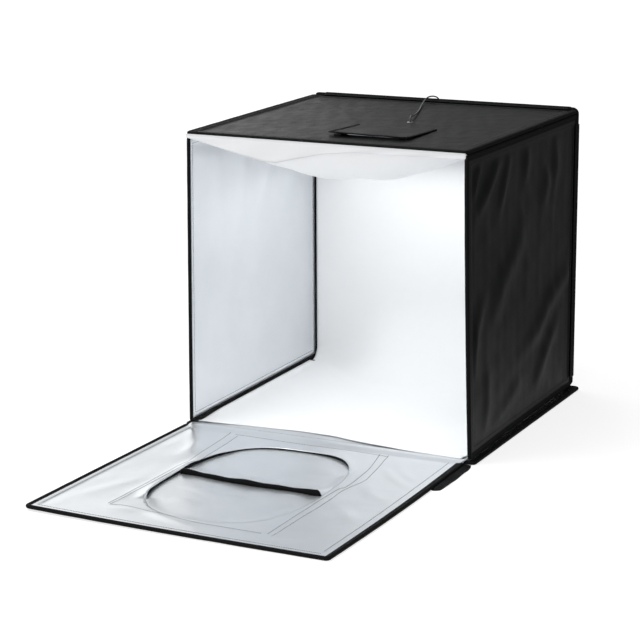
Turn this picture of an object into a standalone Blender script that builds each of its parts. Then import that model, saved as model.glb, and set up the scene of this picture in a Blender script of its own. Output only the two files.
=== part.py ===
"""Light tent cube: six bound cloth panels, a lit top with a diffuser, and a white backdrop.

The tent stands open, as in use: the front panel lies on the table as a door, hinged at the
base's front edge. The origin is the centre of the base's underside, X to the right seen from the
open front, Y to the back, Z up. Metres.

Each panel has its own frame: a runs along the hinged edge, b runs away from it, and w points to
the tent's inside. Points below are (a, b, w) in such a frame unless a function says otherwise.
"""

import math

import bmesh
import bpy
from mathutils import Matrix, Vector

# Overall sizes
CUBE_WIDTH = 0.600
CUBE_DEPTH = 0.600
CUBE_HEIGHT = 0.600
DOOR_LENGTH = 0.594
BACK_RISE = 0.004
CLEARANCE = 0.0003
BASE_MARGIN = 0.012

# Panel build: a springy rod in a bound edge, with two cloths sewn into it
EDGE_THICKNESS = 0.008
HEM_WIDTH = 0.016
HEM_LIP = 0.0008
ROD_DIAMETER = 0.004
CLOTH = 0.0006
FRONT_CORNER = 0.010
REAR_CORNER = 0.013
CORNER_STEPS = 3
ROD_SIDES = 8

# Cloth hinges between the panels
HINGE_STRIP_REACH = 0.024
HINGE_STRIP_END_INSET = 0.020
SIDE_STRIP_END_INSET = 0.030
SIDE_STRIP_REACH = 0.014
HINGE_PLAY = 0.00015

# Door window
WINDOW_HALF_WIDTH = 0.149
WINDOW_HALF_LENGTH = 0.224
WINDOW_POWER = 2.8
WINDOW_POINTS = 40
SLIT_FROM_HINGE = 0.290
SLIT_GAP = 0.001
PATCH_WIDTH = 0.334
PATCH_SHIFT = 0.010
LOWER_FLAP_HINGE = 0.033
UPPER_FLAP_HINGE = 0.516
DOOR_TAPE_WIDTH = 0.017
DOOR_TAPE_END_INSET = 0.004

# Hook-and-loop tape and bound flap edges
TAPE = 0.0008
FOLD_DEPTH = 0.008
FOLD_CLOTH = 0.0004
FOLD_TO_TAPE = 0.001

# Loose hem of the outer cloth beside the door's hinge
HEM_FOLD_START = 0.003
HEM_FOLD_LENGTH = 0.171
HEM_FOLD_WIDTH = 0.031
HEM_FOLD_THICKNESS = 0.0030
HEM_FOLD_STEPS = 14
HEM_FOLD_END_POWER = 8

# Window in the top, with its flap
TOP_FLAP_WIDTH = 0.171
TOP_FLAP_LENGTH = 0.147
TOP_FLAP_SHIFT = 0.0545
TOP_FLAP_FROM_FRONT = 0.081
TOP_FLAP_CORNER = 0.015
TOP_WINDOW_WIDTH = 0.116
TOP_WINDOW_LENGTH = 0.100
TOP_WINDOW_CORNER = 0.012
TOP_WINDOW_FROM_HINGE = 0.020
TOP_TAPE_WIDTH = 0.014
TOP_TAPE_LENGTH = 0.118

# Diffuser under the top
DIFFUSER_INSET = 0.013
DIFFUSER_REAR_INSET = 0.018
DIFFUSER_SAG = 0.093
DIFFUSER_FOLD = 0.005
DIFFUSER_FOLD_COUNT = 4.5
DIFFUSER_SLANT_SHARE = 0.35
DIFFUSER_SKEW_SHARE = -0.11
DIFFUSER_FORWARD_SHARE = 0.24
DIFFUSER_ACROSS_POWER = 2.4
DIFFUSER_ALONG_POWER = 3.2
DIFFUSER_CELLS_ACROSS = 26
DIFFUSER_CELLS_ALONG = 20

# Light bars
LIGHT_SIDE_GAP = 0.110
LIGHT_END_GAP = 0.070
LIGHT_WIDTH = 0.018
LIGHT_HEIGHT = 0.008
LIGHT_WALL = 0.0012
LIGHT_BOARD = 0.0016
LINK_WIRE_DIAMETER = 0.003

# Backdrop
BACKDROP_SIDE_GAP = 0.012
BACKDROP = 0.001
BACKDROP_RADIUS = 0.160
BACKDROP_TOP_GAP = 0.028
BACKDROP_FRONT_GAP = 0.038
BACKDROP_ARC_STEPS = 10
BACKDROP_TAPE = 0.0015
BACKDROP_TAPE_INSET = 0.018
BACKDROP_TAPE_HEIGHT = 0.025

# Eyelet in the top, where the lead comes out
EYELET_X = 0.047
EYELET_Y = 0.005
EYELET_BARREL = 0.0035
EYELET_FLANGE = 0.0065
EYELET_INNER_FLANGE = 0.0052
EYELET_RIM = 0.0011
EYELET_BORE_PLAY = 0.0006
EYELET_STEPS = 16

# Lead of the light bars
CORD_DIAMETER = 0.003
CORD_SUBSTEPS = 3
CORD_SIDE_RESOLUTION = 2
PLUG_LENGTH = 0.030
PLUG_RADIUS = 0.0045
PLUG_NECK_RADIUS = 0.0026
PLUG_TAPER = 0.010
BARREL_LENGTH = 0.009
BARREL_RADIUS = 0.00275
BARREL_BORE = 0.0011
PLUG_STEPS = 16

# Route of the lead's middle line, in world coordinates, chosen by hand
CORD_ROUTE = [
    (0.047, 0.005, 0.5925),
    (0.047, 0.005, 0.5985),
    (0.0466, 0.0063, 0.6028),
    (0.0453, 0.0104, 0.6062),
    (0.0430, 0.0180, 0.6074),
    (0.0398, 0.0285, 0.6066),
    (0.0330, 0.0520, 0.6040),
    (0.0215, 0.0920, 0.6010),
    (0.0055, 0.1420, 0.5995),
    (-0.0115, 0.1920, 0.6000),
    (-0.0255, 0.2350, 0.6020),
    (-0.0330, 0.2640, 0.6050),
    (-0.0350, 0.2840, 0.6084),
    (-0.0310, 0.2955, 0.6095),
    (-0.0240, 0.3030, 0.6075),
    (-0.0185, 0.3062, 0.6010),
    (-0.0155, 0.3062, 0.5880),
    (-0.0130, 0.3050, 0.5500),
    (-0.0100, 0.3045, 0.4500),
    (-0.0080, 0.3045, 0.3300),
    (-0.0065, 0.3045, 0.2100),
    (-0.0055, 0.3050, 0.1000),
    (-0.0050, 0.3070, 0.0420),
    (-0.0055, 0.3130, 0.0160),
    (-0.0080, 0.3240, 0.0045),
    (-0.0160, 0.3420, 0.0019),
    (-0.0360, 0.3630, 0.0019),
    (-0.0680, 0.3750, 0.0019),
    (-0.1060, 0.3740, 0.0019),
    (-0.1420, 0.3630, 0.0022),
    (-0.1700, 0.3530, 0.0034),
    (-0.1860, 0.3490, 0.0046),
    (-0.1940, 0.3480, 0.0048),
    (-0.2000, 0.3475, 0.0048),
]

# Sizes that follow from the ones above
HALF_EDGE = EDGE_THICKNESS / 2
HALF_WIDTH = CUBE_WIDTH / 2
HALF_DEPTH = CUBE_DEPTH / 2
INNER_W = CLEARANCE / 2
SLOT = INNER_W + CLOTH + CLEARANCE
LIP_OUTER = SLOT + HEM_LIP
SECTION_STEP = math.pi / 4
SLEEVE_BORE = (ROD_DIAMETER / 2 + CLEARANCE) / math.cos(SECTION_STEP / 2)
CLOTH_EDGE = HALF_EDGE + SLEEVE_BORE + CLEARANCE
TAPE_FACE = INNER_W + CLOTH + CLEARANCE
FLAP_FACE = TAPE_FACE + TAPE + CLEARANCE
FLAP_MIDDLE = FLAP_FACE + CLOTH / 2
FOLD_HALF = CLOTH / 2 + CLEARANCE + FOLD_CLOTH
BACK_FACE = HALF_DEPTH - EDGE_THICKNESS
SIDE_HEIGHT = CUBE_HEIGHT - 2 * EDGE_THICKNESS - 2 * CLEARANCE
BACK_HEIGHT = CUBE_HEIGHT + BACK_RISE - EDGE_THICKNESS - CLEARANCE
TOP_DEPTH = CUBE_DEPTH - EDGE_THICKNESS - CLEARANCE
CORD_RADIUS = CORD_DIAMETER / 2
LIGHT_SPACING = CUBE_WIDTH - 2 * LIGHT_SIDE_GAP
LIGHT_LENGTH = CUBE_DEPTH - 2 * LIGHT_END_GAP
BACKDROP_WIDTH = CUBE_WIDTH - 2 * BACKDROP_SIDE_GAP
BACKDROP_TOP = CUBE_HEIGHT - BACKDROP_TOP_GAP


def clear_scene():
    for old in list(bpy.data.objects):
        bpy.data.objects.remove(old, do_unlink=True)


def make_material(name, colour, roughness, metallic=0.0):
    material = bpy.data.materials.new(name)
    material.use_nodes = True
    shader = material.node_tree.nodes["Principled BSDF"]
    shader.inputs["Base Color"].default_value = (*colour, 1.0)
    shader.inputs["Roughness"].default_value = roughness
    shader.inputs["Metallic"].default_value = metallic
    return material


def make_pivot(name, place, parent=None):
    """An empty on a body's joint axis, which carries the pieces of that body."""
    pivot = bpy.data.objects.new(name, None)
    bpy.context.scene.collection.objects.link(pivot)
    pivot.parent = parent
    start = parent.matrix_world.translation if parent else Vector((0, 0, 0))
    pivot.location = Vector(place) - start
    bpy.context.view_layer.update()
    return pivot


def panel_frame(origin, a_axis, b_axis, w_axis):
    """The matrix that takes (a, b, w) in a panel's frame to the tent's frame."""
    columns = [Vector(axis) for axis in (a_axis, b_axis, w_axis)]
    turn = Matrix(columns).transposed().to_4x4()
    return Matrix.Translation(Vector(origin)) @ turn


def finish_object(name, mesh, material, pivot, frame, smooth=False):
    if material:
        mesh.materials.append(material)
    obj = bpy.data.objects.new(name, mesh)
    bpy.context.scene.collection.objects.link(obj)
    obj.parent = pivot
    obj.matrix_basis = pivot.matrix_world.inverted() @ frame
    if smooth:
        mesh.shade_smooth()
        mesh.set_sharp_from_angle(angle=math.radians(40))
    return obj


def solid(name, points, faces, material, pivot, frame, smooth=False):
    """A closed mesh from points and faces: doubles are merged and every face is turned outwards."""
    mesh = bpy.data.meshes.new(name)
    shape = bmesh.new()
    verts = [shape.verts.new(point) for point in points]
    for face in faces:
        shape.faces.new([verts[i] for i in face])
    bmesh.ops.remove_doubles(shape, verts=shape.verts, dist=CLEARANCE / 100)
    bmesh.ops.recalc_face_normals(shape, faces=shape.faces)
    shape.to_mesh(mesh)
    shape.free()
    return finish_object(name, mesh, material, pivot, frame, smooth)


def as_cutter(obj):
    obj.hide_render = True
    obj.display_type = "WIRE"
    return obj


def cut(obj, cutter):
    boolean = obj.modifiers.new("cut_" + cutter.name, "BOOLEAN")
    boolean.operation = "DIFFERENCE"
    boolean.object = cutter


def edge_stations(a_low, a_high, b_low, b_high, radii):
    """Stations round a rounded rectangle, from its (high, low) corner and on by way of (high, high).

    A station holds a corner's centre, its radius, the way out along the arc and the way out along
    the corner's mitre, so that edge_point can give the outline at any distance inside the edge.
    """
    corners = [
        (a_high, b_low, 1, -1),
        (a_high, b_high, 1, 1),
        (a_low, b_high, -1, 1),
        (a_low, b_low, -1, -1),
    ]
    stations = []
    for number, ((a, b, a_side, b_side), radius) in enumerate(zip(corners, radii)):
        centre = Vector((a - a_side * radius, b - b_side * radius))
        for step in range(CORNER_STEPS + 1):
            angle = math.pi / 2 * (number - 1 + step / CORNER_STEPS)
            arc = Vector((math.cos(angle), math.sin(angle)))
            stations.append((centre, radius, arc, Vector((a_side, b_side))))
    return stations


def edge_point(station, inset):
    centre, radius, arc, mitre = station
    return centre + (radius - inset) * (arc if inset < radius else mitre)


def outline(stations, inset=0.0):
    """The points at one inset, without the repeats that a mitred corner gives."""
    points = []
    for station in stations:
        point = edge_point(station, inset)
        if not points or (point - points[-1]).length > CLEARANCE / 100:
            points.append(point)
    return points


def sweep_faces(stations, section, closed):
    """Faces of a section carried past the stations, for points stored station by station."""
    faces = []
    for near in range(stations if closed else stations - 1):
        far = (near + 1) % stations
        for side in range(section):
            other = (side + 1) % section
            faces.append(
                [near * section + side, near * section + other, far * section + other, far * section + side]
            )
    if not closed:
        faces.append(list(range(section)))
        faces.append([(stations - 1) * section + side for side in range(section)])
    return faces


def edge_sweep(name, stations, profile, material, pivot, frame, closed=True, w_middle=0.0, smooth=True):
    """Carries a profile of (inset, w) points along an edge."""
    points = []
    for station in stations:
        for inset, w in profile:
            flat = edge_point(station, inset)
            points.append((flat.x, flat.y, w_middle + w))
    faces = sweep_faces(len(stations), len(profile), closed)
    return solid(name, points, faces, material, pivot, frame, smooth)


def plate(name, points, w_low, w_high, material, pivot, frame):
    """A flat plate with the given outline."""
    count = len(points)
    verts = [(p[0], p[1], w) for w in (w_low, w_high) for p in points]
    faces = [list(range(count)), [count + i for i in range(count)]]
    for i in range(count):
        j = (i + 1) % count
        faces.append([i, j, count + j, count + i])
    return solid(name, verts, faces, material, pivot, frame)


def rectangle(a_low, a_high, b_low, b_high):
    return [(a_low, b_low), (a_high, b_low), (a_high, b_high), (a_low, b_high)]


def bent_sheet(name, path, thickness, a_low, a_high, material, pivot, frame):
    """A sheet along a path of (b, w) points, with its thickness on the path's left side."""
    line = [Vector(point) for point in path]
    upper = []
    for i, point in enumerate(line):
        before = (point - line[i - 1]).normalized() if i else None
        after = (line[i + 1] - point).normalized() if i + 1 < len(line) else None
        ways = [way for way in (before, after) if way]
        along = sum(ways, Vector((0, 0))).normalized()
        spread = thickness / (along.dot(ways[0]))
        upper.append(point + spread * Vector((-along.y, along.x)))
    ring = line + upper[::-1]
    points = [(a, p.x, p.y) for a in (a_low, a_high) for p in ring]
    return solid(name, points, sweep_faces(2, len(ring), False), material, pivot, frame, smooth=True)


def turned(name, profile, steps, material, pivot, frame):
    """A ring or rod turned round w from a closed profile of (radius, w) points."""
    points = []
    for step in range(steps):
        angle = 2 * math.pi * step / steps
        points += [(r * math.cos(angle), r * math.sin(angle), w) for r, w in profile]
    return solid(name, points, sweep_faces(steps, len(profile), True), material, pivot, frame, smooth=True)


def tube(name, points, diameter, material, pivot):
    """A round tube along points of the tent's frame."""
    curve = bpy.data.curves.new(name, "CURVE")
    curve.dimensions = "3D"
    curve.bevel_depth = diameter / 2
    curve.bevel_resolution = CORD_SIDE_RESOLUTION
    curve.use_fill_caps = True
    spline = curve.splines.new("POLY")
    spline.points.add(len(points) - 1)
    for place, point in zip(spline.points, points):
        place.co = (*point, 1.0)
    curve.materials.append(material)
    obj = bpy.data.objects.new(name, curve)
    bpy.context.scene.collection.objects.link(obj)
    obj.parent = pivot
    obj.matrix_basis = pivot.matrix_world.inverted()
    return obj


def smooth_route(route, substeps):
    """Points of a smooth curve through the route's own points."""
    line = [Vector(point) for point in route]
    line = [2 * line[0] - line[1]] + line + [2 * line[-1] - line[-2]]
    points = []
    for i in range(1, len(line) - 2):
        before, start, end, after = line[i - 1 : i + 3]
        for step in range(substeps):
            t = step / substeps
            points.append(
                0.5
                * (
                    2 * start
                    + (end - before) * t
                    + (2 * before - 5 * start + 4 * end - after) * t**2
                    + (3 * start - 3 * end + after - before) * t**3
                )
            )
    return points + [line[-2]]


def sleeve_profile():
    """Section of a bound edge: a sleeve round the rod, open towards the panel, with two lips.

    It lists (inset, w): along the outside from the upper lip round to the lower one, and back
    along the inside.
    """

    def arc(radius, half_slot):
        first = math.asin(half_slot / radius)
        angles = [first, (first + math.pi / 2) / 2]
        angles += [math.pi / 2 + SECTION_STEP * i for i in range(3)]
        angles += [2 * math.pi - angle for angle in reversed(angles[:-1])]
        return [(HALF_EDGE + radius * math.cos(x), radius * math.sin(x)) for x in angles]

    outside = [(HEM_WIDTH, LIP_OUTER)] + arc(HALF_EDGE, LIP_OUTER) + [(HEM_WIDTH, -LIP_OUTER)]
    inside = [(HEM_WIDTH, SLOT)] + arc(SLEEVE_BORE, SLOT) + [(HEM_WIDTH, -SLOT)]
    return outside + inside[::-1]


def rod_profile():
    ring = []
    for side in range(ROD_SIDES):
        angle = 2 * math.pi * side / ROD_SIDES
        ring.append(
            (HALF_EDGE + ROD_DIAMETER / 2 * math.cos(angle), ROD_DIAMETER / 2 * math.sin(angle))
        )
    return ring


def fold_profile():
    """Section of the narrow fold that binds a flap's free edge, as (inset, w) from the flap's middle."""
    inner = CLOTH / 2 + CLEARANCE
    chamfer = FOLD_CLOTH
    return [
        (FOLD_DEPTH, FOLD_HALF),
        (chamfer, FOLD_HALF),
        (0.0, FOLD_HALF - chamfer),
        (0.0, chamfer - FOLD_HALF),
        (chamfer, -FOLD_HALF),
        (FOLD_DEPTH, -FOLD_HALF),
        (FOLD_DEPTH, -inner),
        (FOLD_CLOTH, -inner),
        (FOLD_CLOTH, inner),
        (FOLD_DEPTH, inner),
    ]


def panel_stations(width, length, radii):
    return edge_stations(-width / 2, width / 2, 0.0, length, radii)


def make_panel(name, stations, pivot, frame, shell_name="shell"):
    """The rod, the bound edge, the outer cloth and the silver lining of one panel."""
    edge_sweep(name + "_frame_rod", stations, rod_profile(), ROD_PLASTIC, pivot, frame)
    edge_sweep(name + "_edge_binding", stations, sleeve_profile(), BLACK_BINDING, pivot, frame)
    cloth = outline(stations, CLOTH_EDGE)
    lining = plate(name + "_lining", cloth, INNER_W, INNER_W + CLOTH, SILVER_CLOTH, pivot, frame)
    if shell_name is None:
        return None, lining
    shell = plate(f"{name}_{shell_name}", cloth, -INNER_W - CLOTH, -INNER_W, BLACK_CLOTH, pivot, frame)
    return shell, lining


def make_base(pivot):
    """The base lies flat: a stiff board between a flat ground cloth and the lining."""
    frame = panel_frame((0, -HALF_DEPTH, HALF_EDGE), (1, 0, 0), (0, 1, 0), (0, 0, 1))
    stations = panel_stations(CUBE_WIDTH + 2 * BASE_MARGIN, CUBE_DEPTH, [FRONT_CORNER] * 4)
    make_panel("base", stations, pivot, frame, shell_name=None)
    inside_hem = outline(stations, HEM_WIDTH + CLEARANCE)
    ground = -HALF_EDGE + CLOTH
    plate("base_ground_cloth", inside_hem, -HALF_EDGE, ground, BLACK_CLOTH, pivot, frame)
    plate("base_board", inside_hem, ground + CLEARANCE, -INNER_W, BOARD_PLASTIC, pivot, frame)


def window_outline():
    """The door's window: a rounded oval round the slit."""
    points = []
    for i in range(WINDOW_POINTS):
        angle = 2 * math.pi * i / WINDOW_POINTS
        across = abs(math.cos(angle)) ** (2 / WINDOW_POWER)
        along = abs(math.sin(angle)) ** (2 / WINDOW_POWER)
        points.append(
            (
                PATCH_SHIFT + math.copysign(WINDOW_HALF_WIDTH * across, math.cos(angle)),
                SLIT_FROM_HINGE + math.copysign(WINDOW_HALF_LENGTH * along, math.sin(angle)),
            )
        )
    return points


def door_flap(name, hinge_b, free_b, pivot, frame):
    """One half of the window's cover: a cloth with a fold bound round its free edge."""
    a_low = PATCH_SHIFT - PATCH_WIDTH / 2
    a_high = PATCH_SHIFT + PATCH_WIDTH / 2
    way = 1 if free_b > hinge_b else -1
    cloth_end = free_b - way * (FOLD_CLOTH + CLEARANCE)
    shape = rectangle(a_low, a_high, hinge_b, cloth_end)
    plate(name, shape, -FLAP_FACE - CLOTH, -FLAP_FACE, BLACK_CLOTH, pivot, frame)
    inset = DOOR_TAPE_WIDTH + FOLD_TO_TAPE
    out = Vector((0, way))
    ends = [(Vector((a, free_b)), 0.0, out, out) for a in (a_low + inset, a_high - inset)]
    edge_sweep(
        name + "_binding",
        ends,
        fold_profile(),
        BLACK_BINDING,
        pivot,
        frame,
        closed=False,
        w_middle=-FLAP_MIDDLE,
    )


def hem_fold_outline():
    """A tongue along the door's right edge, broad beside the hinge and closing in at its far end."""
    edge = -HALF_WIDTH - CLEARANCE
    inner = []
    outer = []
    for i in range(HEM_FOLD_STEPS + 1):
        share = i / HEM_FOLD_STEPS
        b = HEM_FOLD_START + HEM_FOLD_LENGTH * share
        bulge = math.sqrt(1 - share**HEM_FOLD_END_POWER)
        inner.append((edge, b))
        outer.append((edge - CLOTH - HEM_FOLD_WIDTH * bulge, b))
    return inner + outer[::-1]


def make_door(pivot, lower_pivot, upper_pivot, frame):
    stations = panel_stations(CUBE_WIDTH, DOOR_LENGTH, [FRONT_CORNER] * 4)
    shell, lining = make_panel("door", stations, pivot, frame)
    window = plate("door_window_cutter", window_outline(), -HALF_EDGE, HALF_EDGE, None, pivot, frame)
    for cloth in (shell, lining):
        cut(cloth, as_cutter(window))
    a_low = PATCH_SHIFT - PATCH_WIDTH / 2
    a_high = PATCH_SHIFT + PATCH_WIDTH / 2
    for side, a in (("right", a_low), ("left", a_high - DOOR_TAPE_WIDTH)):
        shape = rectangle(
            a,
            a + DOOR_TAPE_WIDTH,
            LOWER_FLAP_HINGE + DOOR_TAPE_END_INSET,
            UPPER_FLAP_HINGE - DOOR_TAPE_END_INSET,
        )
        name = f"door_window_{side}_tape"
        plate(name, shape, -TAPE_FACE - TAPE, -TAPE_FACE, HOOK_TAPE, pivot, frame)
    door_flap("door_lower_flap", LOWER_FLAP_HINGE, SLIT_FROM_HINGE - SLIT_GAP / 2, lower_pivot, frame)
    door_flap("door_upper_flap", UPPER_FLAP_HINGE, SLIT_FROM_HINGE + SLIT_GAP / 2, upper_pivot, frame)
    low = -HALF_EDGE + CLEARANCE
    fold = hem_fold_outline()
    plate("door_loose_hem", fold, low, low + HEM_FOLD_THICKNESS, BLACK_CLOTH, pivot, frame)


def make_back(pivot):
    origin = (0, HALF_DEPTH - HALF_EDGE, EDGE_THICKNESS + CLEARANCE)
    frame = panel_frame(origin, (1, 0, 0), (0, 0, 1), (0, -1, 0))
    radii = [FRONT_CORNER, REAR_CORNER, REAR_CORNER, FRONT_CORNER]
    make_panel("back", panel_stations(CUBE_WIDTH, BACK_HEIGHT, radii), pivot, frame)
    tape_top = BACKDROP_TOP - origin[2]
    half = BACKDROP_WIDTH / 2 - BACKDROP_TAPE_INSET
    shape = rectangle(-half, half, tape_top - BACKDROP_TAPE_HEIGHT, tape_top)
    plate("backdrop_tape", shape, TAPE_FACE, TAPE_FACE + BACKDROP_TAPE, HOOK_TAPE, pivot, frame)


def make_backdrop(pivot):
    """The white sheet: down the back, round a wide sweep and forward over the base."""
    frame = panel_frame((0, 0, 0), (-1, 0, 0), (0, -1, 0), (0, 0, 1))
    hang = BACK_FACE + HALF_EDGE - TAPE_FACE - BACKDROP_TAPE - CLEARANCE
    floor = HALF_EDGE + INNER_W + CLOTH + CLEARANCE
    path = [(-hang, BACKDROP_TOP)]
    outer = BACKDROP_RADIUS
    for step in range(BACKDROP_ARC_STEPS + 1):
        angle = math.pi / 2 * step / BACKDROP_ARC_STEPS
        path.append((-hang + outer * (1 - math.cos(angle)), floor + outer * (1 - math.sin(angle))))
    path.append((HALF_DEPTH - BACKDROP_FRONT_GAP, floor))
    half = BACKDROP_WIDTH / 2
    bent_sheet("backdrop", path, BACKDROP, -half, half, WHITE_SHEET, pivot, frame)


def make_side(name, side, pivot):
    """side is -1 on the left and 1 on the right."""
    x = side * (HALF_WIDTH - HALF_EDGE)
    middle = EDGE_THICKNESS + CLEARANCE + SIDE_HEIGHT / 2
    frame = panel_frame((x, BACK_FACE - CLEARANCE, middle), (0, 0, -side), (0, -1, 0), (-side, 0, 0))
    depth = CUBE_DEPTH - EDGE_THICKNESS - CLEARANCE
    radii = [REAR_CORNER, FRONT_CORNER, FRONT_CORNER, REAR_CORNER]
    make_panel(name, panel_stations(SIDE_HEIGHT, depth, radii), pivot, frame)
    reach = SIDE_HEIGHT / 2 - SIDE_STRIP_END_INSET
    shape = rectangle(-reach, reach, -EDGE_THICKNESS, SIDE_STRIP_REACH)
    outside = -HALF_EDGE - CLEARANCE
    strip = name + "_hinge_strip"
    plate(strip, shape, outside - CLOTH, outside, BLACK_BINDING, pivot, frame)


def diffuser_drop(across, along):
    """How far the diffuser hangs at a place given as -1 to 1 across and along the top."""
    skewed = across - DIFFUSER_SKEW_SHARE * (1 - across**2)
    held = (1 - across**2) * (1 - along**2)
    forward = along - DIFFUSER_FORWARD_SHARE * (1 - along**2)
    bowl = 1 - abs(skewed) ** DIFFUSER_ACROSS_POWER
    bowl *= 1 - abs(forward) ** DIFFUSER_ALONG_POWER
    wave = math.cos(math.pi * DIFFUSER_FOLD_COUNT * (across + DIFFUSER_SLANT_SHARE * along))
    return DIFFUSER_SAG * bowl + DIFFUSER_FOLD * held * wave


def make_diffuser(pivot, frame):
    half = HALF_WIDTH - DIFFUSER_INSET
    start = DIFFUSER_REAR_INSET
    length = TOP_DEPTH - DIFFUSER_INSET - start
    level = LIP_OUTER + CLEARANCE
    columns = DIFFUSER_CELLS_ACROSS + 1
    rows = DIFFUSER_CELLS_ALONG + 1
    points = []
    for thickness in (0.0, CLOTH):
        for row in range(rows):
            for column in range(columns):
                across = 2 * column / (columns - 1) - 1
                along = 2 * row / (rows - 1) - 1
                w = level + diffuser_drop(across, along) + thickness
                points.append((half * across, start + length * (along + 1) / 2, w))
    layer = rows * columns
    faces = []
    for row in range(rows - 1):
        for column in range(columns - 1):
            corner = row * columns + column
            cell = [corner, corner + 1, corner + columns + 1, corner + columns]
            faces.append(cell)
            faces.append([i + layer for i in cell])
    rim = list(range(columns))
    rim += [row * columns + columns - 1 for row in range(1, rows)]
    rim += [(rows - 1) * columns + column for column in range(columns - 2, -1, -1)]
    rim += [row * columns for row in range(rows - 2, 0, -1)]
    for i, near in enumerate(rim):
        far = rim[(i + 1) % len(rim)]
        faces.append([near, far, far + layer, near + layer])
    solid("diffuser", points, faces, WHITE_CLOTH, pivot, frame, smooth=True)


def make_light(name, a_middle, b_middle, pivot, frame):
    """A channel, open downwards, with its light board inside."""
    half = LIGHT_WIDTH / 2
    top = TAPE_FACE
    low = top + LIGHT_HEIGHT
    channel = [
        (-half, top),
        (half, top),
        (half, low),
        (half - LIGHT_WALL, low),
        (half - LIGHT_WALL, top + LIGHT_WALL),
        (LIGHT_WALL - half, top + LIGHT_WALL),
        (LIGHT_WALL - half, low),
        (-half, low),
    ]
    b_ends = (b_middle - LIGHT_LENGTH / 2, b_middle + LIGHT_LENGTH / 2)
    points = [(a_middle + a, b, w) for b in b_ends for a, w in channel]
    faces = sweep_faces(2, len(channel), False)
    solid(name + "_channel", points, faces, LIGHT_METAL, pivot, frame)
    inside = half - LIGHT_WALL - CLEARANCE
    board_top = top + LIGHT_WALL + CLEARANCE
    shape = rectangle(a_middle - inside, a_middle + inside, *b_ends)
    plate(name + "_board", shape, board_top, board_top + LIGHT_BOARD, BOARD_GREEN, pivot, frame)


def make_eyelet(pivot, frame):
    """The metal eyelet, and the cutter for its holes in the two cloths."""
    place = frame @ Matrix.Translation((EYELET_X, BACK_FACE - CLEARANCE - EYELET_Y, 0))
    bore = CORD_RADIUS + EYELET_BORE_PLAY
    profile = [
        (bore, -TAPE_FACE - EYELET_RIM),
        ((bore + EYELET_FLANGE) / 2, -TAPE_FACE - EYELET_RIM),
        (EYELET_FLANGE, -TAPE_FACE - EYELET_RIM / 2),
        (EYELET_FLANGE, -TAPE_FACE),
        (EYELET_BARREL, -TAPE_FACE),
        (EYELET_BARREL, TAPE_FACE),
        (EYELET_INNER_FLANGE, TAPE_FACE),
        (EYELET_INNER_FLANGE, TAPE_FACE + EYELET_RIM / 2),
        (bore, TAPE_FACE + EYELET_RIM / 2),
    ]
    turned("cord_eyelet", profile, EYELET_STEPS, EYELET_METAL, pivot, place)
    hole = []
    for step in range(EYELET_STEPS):
        angle = 2 * math.pi * step / EYELET_STEPS
        radius = (EYELET_BARREL + CLEARANCE) / math.cos(math.pi / EYELET_STEPS)
        hole.append((radius * math.cos(angle), radius * math.sin(angle)))
    return as_cutter(plate("eyelet_cutter", hole, -HALF_EDGE, HALF_EDGE, None, pivot, place))


def top_window_frame():
    """Where the top's window sits: its flap's hinge line, and the window's outline."""
    hinge_b = TOP_DEPTH - TOP_FLAP_FROM_FRONT - TOP_FLAP_LENGTH
    start = hinge_b + TOP_WINDOW_FROM_HINGE
    stations = edge_stations(
        TOP_FLAP_SHIFT - TOP_WINDOW_WIDTH / 2,
        TOP_FLAP_SHIFT + TOP_WINDOW_WIDTH / 2,
        start,
        start + TOP_WINDOW_LENGTH,
        [TOP_WINDOW_CORNER] * 4,
    )
    return hinge_b, outline(stations)


def make_top_flap(hinge_b, pivot, frame):
    """The flap over the top's window, bound round its three free edges."""
    a_low = TOP_FLAP_SHIFT - TOP_FLAP_WIDTH / 2
    a_high = TOP_FLAP_SHIFT + TOP_FLAP_WIDTH / 2
    free_b = hinge_b + TOP_FLAP_LENGTH
    radii = [0.0, TOP_FLAP_CORNER, TOP_FLAP_CORNER, 0.0]
    rounded = edge_stations(a_low, a_high, hinge_b, free_b, radii)
    front_corners = rounded[CORNER_STEPS + 1 : 3 * (CORNER_STEPS + 1)]
    right, left = Vector((1, 0)), Vector((-1, 0))
    start = (Vector((a_high, hinge_b)), 0.0, right, right)
    end = (Vector((a_low, hinge_b)), 0.0, left, left)
    stations = [start] + front_corners + [end]
    shape = [edge_point(station, FOLD_CLOTH + CLEARANCE) for station in stations]
    plate("top_flap", shape, -FLAP_FACE - CLOTH, -FLAP_FACE, BLACK_CLOTH, pivot, frame)
    edge_sweep(
        "top_flap_binding",
        stations,
        fold_profile(),
        BLACK_BINDING,
        pivot,
        frame,
        closed=False,
        w_middle=-FLAP_MIDDLE,
    )


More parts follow.
